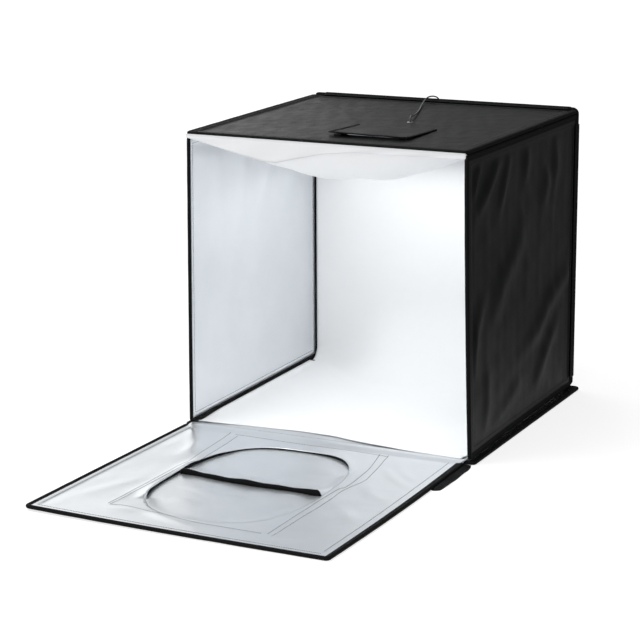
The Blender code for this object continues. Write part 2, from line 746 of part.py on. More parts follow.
def make_top(pivot, flap_pivot, frame):
    radii = [REAR_CORNER, FRONT_CORNER, FRONT_CORNER, REAR_CORNER]
    shell, lining = make_panel("top", panel_stations(CUBE_WIDTH, TOP_DEPTH, radii), pivot, frame)
    hinge_b, window = top_window_frame()
    window_cutter = as_cutter(
        plate("top_window_cutter", window, -HALF_EDGE, HALF_EDGE, None, pivot, frame)
    )
    eyelet_cutter = make_eyelet(pivot, frame)
    for cloth in (shell, lining):
        cut(cloth, window_cutter)
        cut(cloth, eyelet_cutter)
    make_top_flap(hinge_b, flap_pivot, frame)
    tape_out = TOP_FLAP_WIDTH / 2 - FOLD_DEPTH - FOLD_TO_TAPE
    tape_start = hinge_b + (TOP_FLAP_LENGTH - TOP_TAPE_LENGTH) / 2
    tape_ends = (tape_start, tape_start + TOP_TAPE_LENGTH)
    for side, a in (("left", -tape_out), ("right", tape_out - TOP_TAPE_WIDTH)):
        shape = rectangle(TOP_FLAP_SHIFT + a, TOP_FLAP_SHIFT + a + TOP_TAPE_WIDTH, *tape_ends)
        name = f"top_window_{side}_tape"
        plate(name, shape, -TAPE_FACE - TAPE, -TAPE_FACE, HOOK_TAPE, pivot, frame)
    make_diffuser(pivot, frame)
    b_middle = BACK_FACE - CLEARANCE
    for side, a in (("left", -LIGHT_SPACING / 2), ("right", LIGHT_SPACING / 2)):
        make_light("light_" + side, a, b_middle, pivot, frame)


def make_hinge_strips(base_pivot, back_pivot):
    """Cloth strips over the seams between base and door, base and back, and back and top."""
    half = HALF_WIDTH - HINGE_STRIP_END_INSET
    seam = panel_frame((0, -HALF_DEPTH - HINGE_PLAY, 0), (-1, 0, 0), (0, -1, 0), (0, 0, 1))
    lining_top = HALF_EDGE + INNER_W + CLOTH + CLEARANCE
    lip_top = HALF_EDGE + LIP_OUTER + CLEARANCE
    crest = EDGE_THICKNESS + CLEARANCE
    rise = [(HINGE_STRIP_REACH, lining_top), (HEM_WIDTH + HEM_LIP, lip_top), (EDGE_THICKNESS, crest)]
    path = [(-b, w) for b, w in rise] + [(0.0, crest + CLEARANCE)] + rise[::-1]
    bent_sheet("door_hinge_strip", path, CLOTH, -half, half, SILVER_CLOTH, base_pivot, seam)

    rear = panel_frame((0, HALF_DEPTH + CLEARANCE, 0), (-1, 0, 0), (0, 0, 1), (0, 1, 0))
    shape = rectangle(-half, half, CLOTH, EDGE_THICKNESS + CLEARANCE + SIDE_STRIP_REACH)
    plate("back_hinge_strip", shape, 0.0, CLOTH, BLACK_BINDING, back_pivot, rear)

    top_bulge = Vector((BACK_FACE - CLEARANCE - HALF_EDGE, CUBE_HEIGHT - HALF_EDGE))
    back_bulge = Vector((BACK_FACE + HALF_EDGE, CUBE_HEIGHT + BACK_RISE - HALF_EDGE))
    along = (back_bulge - top_bulge).normalized()
    lift = Vector((-along.y, along.x)) * (HALF_EDGE + CLEARANCE)
    path = [top_bulge + lift - along * HALF_EDGE, back_bulge + lift + along * HALF_EDGE]
    world = panel_frame((0, 0, 0), (1, 0, 0), (0, 1, 0), (0, 0, 1))
    bent_sheet("top_hinge_strip", path, CLOTH, -half, half, BLACK_BINDING, back_pivot, world)


def make_lead(top_pivot, back_pivot, base_pivot):
    """The lead from the eyelet over the back to the table, its plug, and the wire between the bars."""
    route = smooth_route(CORD_ROUTE, CORD_SUBSTEPS)
    crest = max(range(len(route)), key=lambda i: route[i].z)
    tube("power_cord_top", route[: crest + 1], CORD_DIAMETER, BLACK_CORD, top_pivot)
    onward = (route[crest + 1] - route[crest]).normalized()
    fall = [route[crest] + onward * CLEARANCE] + route[crest + 1 :]
    tube("power_cord", fall, CORD_DIAMETER, BLACK_CORD, back_pivot)
    wire_z = CORD_ROUTE[0][2] - CLEARANCE - LINK_WIRE_DIAMETER / 2
    end_x = LIGHT_SPACING / 2 - LIGHT_WIDTH / 2 - CLEARANCE
    wire = [(-end_x, EYELET_Y, wire_z), (end_x, EYELET_Y, wire_z)]
    tube("light_link_wire", wire, LINK_WIRE_DIAMETER, BLACK_CORD, top_pivot)

    end = Vector(CORD_ROUTE[-1])
    way = (end - Vector(CORD_ROUTE[-2])).normalized()
    side = way.cross(Vector((0, 0, 1))).normalized()
    frame = panel_frame(end + way * CLEARANCE, side, way.cross(side), way)
    plug = [
        (0.0, 0.0),
        (PLUG_NECK_RADIUS, 0.0),
        (PLUG_RADIUS, PLUG_TAPER),
        (PLUG_RADIUS, PLUG_LENGTH),
        (0.0, PLUG_LENGTH),
    ]
    turned("cord_plug", plug, PLUG_STEPS, BLACK_PLASTIC, base_pivot, frame)
    start = PLUG_LENGTH + CLEARANCE
    barrel = [
        (BARREL_BORE, start),
        (BARREL_RADIUS, start),
        (BARREL_RADIUS, start + BARREL_LENGTH),
        (BARREL_BORE, start + BARREL_LENGTH),
    ]
    turned("cord_plug_barrel", barrel, PLUG_STEPS, EYELET_METAL, base_pivot, frame)


clear_scene()
BLACK_CLOTH = make_material("black_cloth", (0.016, 0.017, 0.019), 0.78)
BLACK_BINDING = make_material("black_binding", (0.010, 0.010, 0.011), 0.70)
SILVER_CLOTH = make_material("silver_cloth", (0.72, 0.74, 0.76), 0.38, 0.55)
WHITE_CLOTH = make_material("white_cloth", (0.90, 0.90, 0.91), 0.85)
WHITE_SHEET = make_material("white_sheet", (0.88, 0.89, 0.90), 0.55)
HOOK_TAPE = make_material("hook_tape", (0.012, 0.012, 0.013), 0.95)
ROD_PLASTIC = make_material("rod_plastic", (0.50, 0.49, 0.42), 0.45)
BOARD_PLASTIC = make_material("board_plastic", (0.06, 0.06, 0.065), 0.60)
LIGHT_METAL = make_material("light_metal", (0.78, 0.79, 0.80), 0.30, 1.0)
BOARD_GREEN = make_material("light_board", (0.85, 0.86, 0.84), 0.45)
EYELET_METAL = make_material("eyelet_metal", (0.62, 0.62, 0.63), 0.28, 1.0)
BLACK_CORD = make_material("black_cord", (0.020, 0.020, 0.022), 0.40)
BLACK_PLASTIC = make_material("black_plastic", (0.018, 0.018, 0.020), 0.42)

SEAM_TOP = EDGE_THICKNESS + CLEARANCE
DOOR_ORIGIN = (0, -HALF_DEPTH - CLEARANCE, HALF_EDGE)
DOOR_FRAME = panel_frame(DOOR_ORIGIN, (-1, 0, 0), (0, -1, 0), (0, 0, 1))
TOP_ORIGIN = (0, BACK_FACE - CLEARANCE, CUBE_HEIGHT - HALF_EDGE)
TOP_FRAME = panel_frame(TOP_ORIGIN, (1, 0, 0), (0, -1, 0), (0, 0, -1))
FLAP_AXIS_W = -FLAP_FACE + HINGE_PLAY
SIDE_AXIS_X = HALF_WIDTH + HINGE_PLAY
SIDE_AXIS_Y = BACK_FACE - HINGE_PLAY

base = make_pivot("base_pivot", (0, 0, 0))
door = make_pivot("door_pivot", (0, -HALF_DEPTH - HINGE_PLAY, SEAM_TOP), base)
LOWER_AXIS = DOOR_FRAME @ Vector((0, LOWER_FLAP_HINGE, FLAP_AXIS_W))
UPPER_AXIS = DOOR_FRAME @ Vector((0, UPPER_FLAP_HINGE, FLAP_AXIS_W))
lower_flap = make_pivot("door_lower_flap_pivot", LOWER_AXIS, door)
upper_flap = make_pivot("door_upper_flap_pivot", UPPER_AXIS, door)
back = make_pivot("back_pivot", (0, HALF_DEPTH + HINGE_PLAY, EDGE_THICKNESS + HINGE_PLAY), base)
top = make_pivot("top_pivot", (0, BACK_FACE - HINGE_PLAY, CUBE_HEIGHT + CLEARANCE), back)
TOP_HINGE_B = TOP_DEPTH - TOP_FLAP_FROM_FRONT - TOP_FLAP_LENGTH
top_flap = make_pivot("top_flap_pivot", TOP_FRAME @ Vector((0, TOP_HINGE_B, FLAP_AXIS_W)), top)
left_side = make_pivot("left_side_pivot", (-SIDE_AXIS_X, SIDE_AXIS_Y, CUBE_HEIGHT / 2), back)
right_side = make_pivot("right_side_pivot", (SIDE_AXIS_X, SIDE_AXIS_Y, CUBE_HEIGHT / 2), back)

make_base(base)
make_door(door, lower_flap, upper_flap, DOOR_FRAME)
make_back(back)
make_backdrop(back)
make_side("left_side", -1, left_side)
make_side("right_side", 1, right_side)
make_top(top, top_flap, TOP_FRAME)
make_hinge_strips(base, back)
make_lead(top, back, base)
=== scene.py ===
"""Light tent cube: the looks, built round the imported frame."""

import math
import random

import bpy
import numpy as np
from mathutils import Matrix, Vector
from mathutils.geometry import delaunay_2d_cdt


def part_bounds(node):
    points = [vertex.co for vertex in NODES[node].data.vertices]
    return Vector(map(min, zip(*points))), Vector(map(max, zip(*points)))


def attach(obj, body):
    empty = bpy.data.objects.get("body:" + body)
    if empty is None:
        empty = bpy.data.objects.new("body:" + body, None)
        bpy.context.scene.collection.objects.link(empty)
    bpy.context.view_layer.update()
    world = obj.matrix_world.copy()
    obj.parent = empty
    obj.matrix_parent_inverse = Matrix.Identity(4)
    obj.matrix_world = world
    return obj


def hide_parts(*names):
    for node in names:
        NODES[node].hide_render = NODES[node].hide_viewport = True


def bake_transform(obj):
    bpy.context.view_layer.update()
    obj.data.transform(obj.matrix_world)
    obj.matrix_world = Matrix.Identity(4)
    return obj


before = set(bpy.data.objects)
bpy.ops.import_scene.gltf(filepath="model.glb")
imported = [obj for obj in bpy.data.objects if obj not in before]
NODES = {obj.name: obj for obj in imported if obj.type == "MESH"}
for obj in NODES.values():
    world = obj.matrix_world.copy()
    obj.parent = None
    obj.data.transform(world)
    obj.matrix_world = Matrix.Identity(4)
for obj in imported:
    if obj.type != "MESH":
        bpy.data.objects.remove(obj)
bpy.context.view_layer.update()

# ---------------------------------------------------------------- camera

scene = bpy.context.scene
CAMERA_PLACE = Vector((1.7863, -3.9431, 1.2323))
CAMERA_YAW, CAMERA_PITCH, CAMERA_ROLL = -0.4573, 0.2371, -0.0048
FOCAL_PIXELS, FRAME_PIXELS, SENSOR = 2166.6, 640, 36.0

camera_data = bpy.data.cameras.new("camera")
camera_data.sensor_width = SENSOR
camera_data.lens = FOCAL_PIXELS * SENSOR / FRAME_PIXELS
camera_data.clip_end = 50.0
camera = bpy.data.objects.new("camera", camera_data)
scene.collection.objects.link(camera)
forward = Vector(
    (
        math.sin(CAMERA_YAW) * math.cos(CAMERA_PITCH),
        math.cos(CAMERA_YAW) * math.cos(CAMERA_PITCH),
        -math.sin(CAMERA_PITCH),
    )
)
level = Vector((math.cos(CAMERA_YAW), -math.sin(CAMERA_YAW), 0.0))
rise = level.cross(forward)
right = level * math.cos(CAMERA_ROLL) + rise * math.sin(CAMERA_ROLL)
upward = rise * math.cos(CAMERA_ROLL) - level * math.sin(CAMERA_ROLL)
turned = Matrix((right, upward, -forward)).transposed().to_4x4()
camera.matrix_world = Matrix.Translation(CAMERA_PLACE) @ turned
scene.camera = camera
scene.view_settings.view_transform = "Standard"

LEAD_DIAMETER = 0.003
LEAD_SUBSTEPS = 3
LEAD_ROUTE = [
    (0.047, 0.005, 0.5925),
    (0.047, 0.005, 0.5985),
    (0.0466, 0.0063, 0.6028),
    (0.0453, 0.0104, 0.6062),
    (0.0430, 0.0180, 0.6074),
    (0.0398, 0.0285, 0.6066),
    (0.0330, 0.0520, 0.6040),
    (0.0215, 0.0920, 0.6010),
    (0.0055, 0.1420, 0.5995),
    (-0.0115, 0.1920, 0.6000),
    (-0.0255, 0.2350, 0.6020),
    (-0.0330, 0.2640, 0.6050),
    (-0.0350, 0.2840, 0.6084),
    (-0.0310, 0.2955, 0.6095),
    (-0.0240, 0.3030, 0.6075),
    (-0.0185, 0.3062, 0.6010),
    (-0.0155, 0.3062, 0.5880),
    (-0.0130, 0.3050, 0.5500),
    (-0.0100, 0.3045, 0.4500),
    (-0.0080, 0.3045, 0.3300),
    (-0.0065, 0.3045, 0.2100),
    (-0.0055, 0.3050, 0.1000),
    (-0.0050, 0.3070, 0.0420),
    (-0.0055, 0.3130, 0.0160),
    (-0.0080, 0.3240, 0.0045),
    (-0.0160, 0.3420, 0.0019),
    (-0.0360, 0.3630, 0.0019),
    (-0.0680, 0.3750, 0.0019),
    (-0.1060, 0.3740, 0.0019),
    (-0.1420, 0.3630, 0.0022),
    (-0.1700, 0.3530, 0.0034),
    (-0.1860, 0.3490, 0.0046),
    (-0.1940, 0.3480, 0.0048),
    (-0.2000, 0.3475, 0.0048),
]


def smooth_route(route, substeps):
    """Points of a smooth curve through the route's own points."""
    line = [Vector(point) for point in route]
    line = [2 * line[0] - line[1]] + line + [2 * line[-1] - line[-2]]
    points = []
    for i in range(1, len(line) - 2):
        before, start, end, after = line[i - 1 : i + 3]
        for step in range(substeps):
            t = step / substeps
            bend = 2 * before - 5 * start + 4 * end - after
            turn = 3 * start - 3 * end + after - before
            points.append(0.5 * (2 * start + (end - before) * t + bend * t**2 + turn * t**3))
    return points + [line[-2]]


# ---------------------------------------------------------------- materials


def new_material(name, colour, roughness, metallic=0.0, **sockets):
    material = bpy.data.materials.new(name)
    material.use_nodes = True
    shader = material.node_tree.nodes["Principled BSDF"]
    shader.inputs["Base Color"].default_value = (*colour, 1.0)
    shader.inputs["Roughness"].default_value = roughness
    shader.inputs["Metallic"].default_value = metallic
    for socket, value in sockets.items():
        shader.inputs[socket.replace("_", " ")].default_value = value
    return material


def node(tree, kind, values=None, **settings):
    made = tree.nodes.new(kind)
    for key, value in settings.items():
        setattr(made, key, value)
    for key, value in (values or {}).items():
        made.inputs[key].default_value = value
    return made


def math_node(tree, operation, first, second=None):
    made = node(tree, "ShaderNodeMath", operation=operation)
    for place, value in enumerate((first, second)):
        if value is None:
            continue
        if isinstance(value, (int, float)):
            made.inputs[place].default_value = value
        else:
            tree.links.new(value, made.inputs[place])
    return made.outputs[0]


def new_group(name, inputs, outputs):
    group = bpy.data.node_groups.new(name, "ShaderNodeTree")
    for socket, kind, value in inputs:
        made = group.interface.new_socket(socket, in_out="INPUT", socket_type=kind)
        if value is not None:
            made.default_value = value
    for socket, kind in outputs:
        group.interface.new_socket(socket, in_out="OUTPUT", socket_type=kind)
    return group, group.nodes.new("NodeGroupInput"), group.nodes.new("NodeGroupOutput")


def make_weave_group():
    """Threads over and under each other: a height between 0 and 1, and a mask for single thick threads."""
    group, start, end = new_group(
        "woven_threads",
        [
            ("Vector", "NodeSocketVector", None),
            ("Threads across", "NodeSocketFloat", 900.0),
            ("Threads along", "NodeSocketFloat", 900.0),
            ("Unevenness", "NodeSocketFloat", 0.3),
        ],
        [("Height", "NodeSocketFloat"), ("Slub", "NodeSocketFloat")],
    )
    parts = node(group, "ShaderNodeSeparateXYZ")
    group.links.new(start.outputs["Vector"], parts.inputs[0])
    across = math_node(group, "MULTIPLY", parts.outputs["X"], start.outputs["Threads across"])
    along = math_node(group, "MULTIPLY", parts.outputs["Y"], start.outputs["Threads along"])
    wave_x = math_node(group, "SINE", math_node(group, "MULTIPLY", across, 2 * math.pi))
    wave_y = math_node(group, "SINE", math_node(group, "MULTIPLY", along, 2 * math.pi))
    noise = node(group, "ShaderNodeTexNoise", {"Scale": 420.0, "Detail": 2.0})
    group.links.new(start.outputs["Vector"], noise.inputs["Vector"])
    woven = math_node(group, "MULTIPLY", wave_x, wave_y)
    level = math_node(group, "ADD", math_node(group, "MULTIPLY", woven, 0.35), 0.5)
    uneven = math_node(group, "MULTIPLY", noise.outputs["Fac"], start.outputs["Unevenness"])
    group.links.new(math_node(group, "ADD", level, uneven), end.inputs["Height"])
    stretch = node(group, "ShaderNodeMapping")
    stretch.inputs["Scale"].default_value = (60.0, 900.0, 60.0)
    group.links.new(start.outputs["Vector"], stretch.inputs["Vector"])
    slub = node(group, "ShaderNodeTexNoise", {"Scale": 1.0, "Detail": 1.0})
    group.links.new(stretch.outputs[0], slub.inputs["Vector"])
    group.links.new(slub.outputs["Fac"], end.inputs["Slub"])
    return group


def make_drift_group():
    """Slow changes of shade over a cloth, with a finer mottle, as one value between 0 and 1."""
    group, start, end = new_group(
        "shade_drift",
        [
            ("Vector", "NodeSocketVector", None),
            ("Patch size", "NodeSocketFloat", 0.08),
            ("Mottle", "NodeSocketFloat", 0.35),
        ],
        [("Value", "NodeSocketFloat")],
    )
    scale = math_node(group, "DIVIDE", 1.0, start.outputs["Patch size"])
    broad = node(group, "ShaderNodeTexNoise", {"Detail": 3.0, "Roughness": 0.55})
    fine = node(group, "ShaderNodeTexNoise", {"Detail": 2.0, "Roughness": 0.6})
    group.links.new(start.outputs["Vector"], broad.inputs["Vector"])
    group.links.new(start.outputs["Vector"], fine.inputs["Vector"])
    group.links.new(scale, broad.inputs["Scale"])
    group.links.new(math_node(group, "MULTIPLY", scale, 9.0), fine.inputs["Scale"])
    mix = node(group, "ShaderNodeMix", data_type="FLOAT")
    group.links.new(start.outputs["Mottle"], mix.inputs["Factor"])
    group.links.new(broad.outputs["Fac"], mix.inputs["A"])
    group.links.new(fine.outputs["Fac"], mix.inputs["B"])
    group.links.new(mix.outputs["Result"], end.inputs["Value"])
    return group


WEAVE = make_weave_group()
DRIFT = make_drift_group()


def coordinates(tree, source):
    """UV for cloth that is laid out flat, Object for everything else."""
    return node(tree, "ShaderNodeTexCoord").outputs[source]


def shade(
    material, source, dark, light, patch, mottle=0.35, rough=None, weave=None, bump=0.0, uneven=0.3, thread_shade=0.0
):
    """Colour that drifts between dark and light, roughness likewise, and a woven or grained bump. The last argument
    paints shade and highlight into the weave: how much darker the hollows between the threads are, and how much lighter
    their crests."""
    tree = material.node_tree
    shader = tree.nodes["Principled BSDF"]
    where = coordinates(tree, source)
    drift = node(tree, "ShaderNodeGroup", node_tree=DRIFT)
    drift.inputs["Patch size"].default_value = patch
    drift.inputs["Mottle"].default_value = mottle
    tree.links.new(where, drift.inputs["Vector"])
    spread = node(tree, "ShaderNodeMapRange", {"From Min": 0.3, "From Max": 0.7})
    tree.links.new(drift.outputs["Value"], spread.inputs["Value"])
    mix = node(tree, "ShaderNodeMix", data_type="RGBA")
    mix.inputs["A"].default_value = (*dark, 1.0)
    mix.inputs["B"].default_value = (*light, 1.0)
    tree.links.new(spread.outputs[0], mix.inputs["Factor"])
    colour = mix.outputs["Result"]
    threads = None
    if weave:
        threads = node(tree, "ShaderNodeGroup", node_tree=WEAVE)
        threads.inputs["Threads across"].default_value = weave[0]
        threads.inputs["Threads along"].default_value = weave[1]
        threads.inputs["Unevenness"].default_value = uneven
        tree.links.new(where, threads.inputs["Vector"])
    # Painted shade and highlight: the weave's hollows darken the colour and its crests lighten it.
    if thread_shade:
        depth = node(
            tree, "ShaderNodeMapRange", {"From Min": 0.2, "From Max": 1.0, "To Min": 1 - thread_shade, "To Max": 1 + thread_shade}
        )
        tree.links.new(threads.outputs["Height"], depth.inputs["Value"])
        darker = node(tree, "ShaderNodeMix", data_type="RGBA", blend_type="MULTIPLY")
        darker.inputs["Factor"].default_value = 1.0
        tree.links.new(colour, darker.inputs["A"])
        tree.links.new(depth.outputs[0], darker.inputs["B"])
        colour = darker.outputs["Result"]
    tree.links.new(colour, shader.inputs["Base Color"])
    if rough:
        span = node(tree, "ShaderNodeMapRange", {"To Min": rough[0], "To Max": rough[1]})
        tree.links.new(spread.outputs[0], span.inputs["Value"])
        tree.links.new(span.outputs[0], shader.inputs["Roughness"])
    if bump:
        raised = node(tree, "ShaderNodeBump", {"Strength": 1.0, "Distance": bump})
        if threads:
            tree.links.new(threads.outputs["Height"], raised.inputs["Height"])
        else:
            grain = node(tree, "ShaderNodeTexNoise", {"Scale": 1.0 / (patch * 0.05), "Detail": 2.0})
            tree.links.new(where, grain.inputs["Vector"])
            tree.links.new(grain.outputs["Fac"], raised.inputs["Height"])
        tree.links.new(raised.outputs["Normal"], shader.inputs["Normal"])
    return material


def grey(value, blue=0.0):
    return (value, value * (1 + blue * 0.4), value * (1 + blue))


BLACK_SHELL = shade(
    new_material("black_outer_cloth", grey(0.02), 0.5, Specular_IOR_Level=0.11),
    "UV", grey(0.004, 0.20), grey(0.009, 0.20), 0.06, rough=(0.30, 0.42), weave=(560, 560), bump=0.00010, thread_shade=0.12,
)
BLACK_BINDING = shade(
    new_material("black_bound_edge", grey(0.012), 0.6, Specular_IOR_Level=0.09),
    "UV", grey(0.003, 0.15), grey(0.006, 0.15), 0.03, rough=(0.55, 0.70), weave=(480, 900), bump=0.00015, thread_shade=0.15,
)
BLACK_TAPE = shade(
    new_material("hook_tape_pile", grey(0.012), 0.95, Sheen_Weight=0.2, Sheen_Roughness=0.6),
    "Object", grey(0.008), grey(0.020), 0.004, mottle=0.7, bump=0.0004,
)
SILVER_LINING = shade(
    new_material("silver_lining", grey(0.8), 0.3, 0.80),
    "UV", (0.765, 0.797, 0.828), (0.812, 0.838, 0.862), 0.09, mottle=0.08, rough=(0.28, 0.32),
    weave=(330, 330), bump=0.00007, uneven=0.10, thread_shade=0.11,
)
WHITE_DIFFUSER = shade(
    new_material("white_diffuser_cloth", grey(0.9), 0.9, Emission_Strength=0.12),
    "UV", grey(0.90, 0.02), grey(0.94, 0.02), 0.09, rough=(0.85, 0.95), weave=(700, 700), bump=0.00005, thread_shade=0.02,
)
WHITE_DIFFUSER.node_tree.nodes["Principled BSDF"].inputs["Emission Color"].default_value = (0.98, 0.99, 1, 1)
WHITE_HEM = shade(
    new_material("white_front_hem", grey(0.85), 0.9),
    "UV", grey(0.83, 0.03), grey(0.86, 0.03), 0.09, rough=(0.85, 0.95), weave=(700, 700), bump=0.00005, thread_shade=0.02,
)
WHITE_SHEET = shade(
    new_material("white_backdrop_sheet", grey(0.9), 0.65, Specular_IOR_Level=0.25),
    "UV", (0.880, 0.888, 0.895), (0.900, 0.907, 0.915), 0.15, rough=(0.60, 0.70), bump=0.00004,
)
GREY_THREAD = shade(
    new_material("grey_thread", grey(0.2), 0.6),
    "Object", grey(0.02), grey(0.05), 0.002, bump=0.0001,
)
BLACK_THREAD = shade(
    new_material("black_thread", grey(0.03), 0.5),
    "Object", grey(0.02), grey(0.045), 0.002, bump=0.0001,
)
ROD = shade(
    new_material("glass_fibre_rod", (0.5, 0.49, 0.42), 0.45),
    "Object", (0.46, 0.45, 0.38), (0.54, 0.53, 0.46), 0.01, rough=(0.40, 0.50), bump=0.00005,
)
BOARD = shade(
    new_material("stiffening_board", grey(0.06), 0.6),
    "Object", grey(0.05), grey(0.07), 0.05, rough=(0.55, 0.65), bump=0.0001,
)
LIGHT_METAL = shade(
    new_material("light_bar_metal", grey(0.78), 0.3, 1.0),
    "Object", grey(0.74), grey(0.82), 0.02, rough=(0.26, 0.36), bump=0.00002,
)
LIGHT_BOARD = shade(
    new_material("light_board_white", grey(0.85), 0.4),
    "Object", grey(0.80), grey(0.88), 0.02, rough=(0.35, 0.45), bump=0.00002,
)
LIGHT_CHIP = shade(
    new_material("light_chip", (1.0, 0.95, 0.75), 0.3, Emission_Strength=3.0),
    "Object", (0.95, 0.88, 0.60), (1.0, 0.95, 0.72), 0.002, bump=0.00002,
)
LIGHT_CHIP.node_tree.nodes["Principled BSDF"].inputs["Emission Color"].default_value = (1, 0.97, 0.9, 1)
NICKEL = shade(
    new_material("nickel_plate", grey(0.62), 0.25, 1.0),
    "Object", grey(0.55), grey(0.70), 0.004, rough=(0.20, 0.34), bump=0.00003,
)
BLACK_LEAD = shade(
    new_material("black_lead_jacket", grey(0.02), 0.35, Coat_Weight=0.25, Coat_Roughness=0.25),
    "UV", grey(0.014), grey(0.024), 0.01, rough=(0.28, 0.40), bump=0.00004,
)
BLACK_MOULDING = shade(
    new_material("black_moulding", grey(0.02), 0.42),
    "Object", grey(0.016), grey(0.024), 0.006, rough=(0.36, 0.48), bump=0.00005,
)

# ---------------------------------------------------------------- panels and cloth tools


def part_box(name):
    low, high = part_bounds(name)
    return np.array(low), np.array(high)


class Panel:
    """A bound panel: a along its hinged edge, b away from it, w to the tent's inside."""

    def __init__(self, name, a_way, b_way, w_way, radii, sway=None):
        low, high = part_box(name + "_edge_binding")
        self.name = name
        self.ways = np.array([a_way, b_way, w_way], float)
        middle, size = (low + high) / 2, high - low
        spans = np.abs(self.ways @ size)
        self.half, self.length, self.edge = spans[0] / 2, spans[1], spans[2] / 2
        self.start = middle - self.ways[1] * self.length / 2
        self.radii = radii
        self.sway = sway

    def place(self, points):
        """From the panel's own (a, b, w) to the tent, with the panel's own slight warp."""
        a, b, w = np.array(points, float).T
        if self.sway:
            a, b, w = self.sway(a, b, w, self.half, self.length)
        return self.start + np.column_stack([a, b, w]) @ self.ways

    def inset(self, points):
        """How far inside the panel's outline each (a, b) lies."""
        a, b = points[:, 0], points[:, 1] - self.length / 2
        out_a, out_b = np.abs(a) - self.half, np.abs(b) - self.length / 2
        high_a, high_b = a > 0, b > 0
        radius = np.where(
            high_a,
            np.where(high_b, self.radii[1], self.radii[0]),
            np.where(high_b, self.radii[2], self.radii[3]),
        )
        corner = (out_a > -radius) & (out_b > -radius)
        round_in = radius - np.hypot(out_a + radius, out_b + radius)
        return np.where(corner, round_in, -np.maximum(out_a, out_b))

    def loop(self, inset, step):
        """Points and outward ways round the panel, inside its outline by one inset or by one for each of its
        sides a+, b+, a-, b-. Loops of one step have the same number of points."""
        insets = [inset] * 4 if isinstance(inset, float) else list(inset)
        half_b = self.length / 2
        arcs = []
        corners = ((1, -1, 0, 3), (1, 1, 0, 1), (-1, 1, 2, 1), (-1, -1, 2, 3))
        for number, (side_a, side_b, at_a, at_b) in enumerate(corners):
            bend = max(self.radii[number] - (insets[at_a] + insets[at_b]) / 2, 0.002)
            centre = np.array(
                (side_a * (self.half - insets[at_a] - bend), half_b + side_b * (half_b - insets[at_b] - bend))
            )
            angles = math.pi / 2 * (number - 1 + np.arange(7) / 6)
            ways = np.stack([np.cos(angles), np.sin(angles)], 1)
            arcs.append((centre + bend * ways, ways))
        points, outs = [], []
        for number, (arc, ways) in enumerate(arcs):
            after = arcs[(number + 1) % 4][0][0]
            count = round((self.length, 2 * self.half)[number % 2] / step)
            share = (np.arange(1, count) / count)[:, None]
            points += [arc, arc[-1] + (after - arc[-1]) * share]
            outs += [ways, np.repeat(ways[-1:], count - 1, 0)]
        return np.concatenate(points), np.concatenate(outs)


def base_sway(a, b, w, half, length):
    """The base's right edge has spread a little, most in front."""
    return a + (0.0035 + 0.0035 * np.clip(1 - b / length, 0, 1)) * np.clip(a / half, 0, 1) ** 2, b, w


def door_sway(a, b, w, half, length):
    """The door has sprung a little askew: its front left corner stands out and up, its right side is drawn in."""
    left = np.clip((a + half) / (2 * half), 0, 1)
    far = np.clip(b / length, 0, 1)
    drawn = 0.005 * np.sin(math.pi * far) * (1 - left) ** 2
    return a + 0.009 * left**5 - drawn, b - 0.010 * far * left**3, w + 0.003 * far * left**1.5


REAR_SPREAD = 0.012


def side_sway(bottom, lower, upper, rear):
    """A side's front edge leans: out at the foot, in at the head. Its rear edge stands out by rear, and bottom is
    the sign of a at the foot."""

    def sway(a, b, w, half, length):
        low = np.clip((half + bottom * a) / (2 * half), 0, 1)
        far = np.clip(b / length, 0, 1)
        return a, b, w + far**2 * (upper * (1 - low) ** 2 - lower * low**2) - rear * (1 - far)

    return sway


def top_sway(a, b, w, half, length):
    """The top is a little narrower in front, and reaches out to the spread rear left corner."""
    far = np.clip(b / length, 0, 1)
    return a * (1 - 0.009 * far**2) - REAR_SPREAD * (1 - far) * (half - a) / (2 * half), b, w


def back_sway(a, b, w, half, length):
    """Only the back's head, above the sides, follows the spread corner, so the left side still swings past it."""
    return a - REAR_SPREAD * ease(b, length - 0.013, length - 0.002) * (half - a) / (2 * half), b, w


FRONT_CORNER, REAR_CORNER = 0.010, 0.013
X, Y, Z = np.eye(3)
ROUND, SQUARE = REAR_CORNER, FRONT_CORNER
BASE = Panel("base", X, Y, Z, [SQUARE] * 4, base_sway)
DOOR = Panel("door", -X, -Y, Z, [SQUARE] * 4, door_sway)
BACK = Panel("back", X, Z, -Y, [SQUARE, ROUND, ROUND, SQUARE], back_sway)
LEFT = Panel("left_side", Z, -Y, X, [ROUND, SQUARE, SQUARE, ROUND], side_sway(-1, 0.002, 0.0036, REAR_SPREAD))
RIGHT = Panel("right_side", -Z, -Y, -X, [ROUND, SQUARE, SQUARE, ROUND], side_sway(1, 0.010, 0.003, 0.0))
TOP = Panel("top", X, -Y, -Z, [ROUND, SQUARE, SQUARE, ROUND], top_sway)


def piece(name, points, faces, materials, uv=None, corner_uv=None, smooth=True):
    """A mesh object at the origin with a UV map in metres."""
    mesh = bpy.data.meshes.new(name)
    mesh.from_pydata([tuple(map(float, p)) for p in points], [], faces)
    layer = mesh.uv_layers.new(name="UVMap")
    if corner_uv is None:
        index = np.empty(len(mesh.loops), np.int32)
        mesh.loops.foreach_get("vertex_index", index)
        corner_uv = np.asarray(uv, float)[index]
    layer.data.foreach_set("uv", np.asarray(corner_uv, np.float32).ravel())
    for material in materials:
        mesh.materials.append(material)
    if smooth:
        mesh.shade_smooth()
    mesh.update()
    obj = bpy.data.objects.new(name, mesh)
    scene.collection.objects.link(obj)
    return obj


def grid_faces(rows, columns):
    """The faces between neighbouring rows of points, each row with so many columns."""
    return [
        [r * columns + k, r * columns + k + 1, (r + 1) * columns + k + 1, (r + 1) * columns + k]
        for r in range(rows - 1) for k in range(columns - 1)
    ]


def thicken(obj, thickness, offset=-1.0, inner_slot=0):
    wall = obj.modifiers.new("cloth_thickness", "SOLIDIFY")
    wall.thickness = thickness
    wall.offset = offset
    wall.use_even_offset = True
    wall.material_offset = inner_slot
    wall.material_offset_rim = inner_slot
    return obj


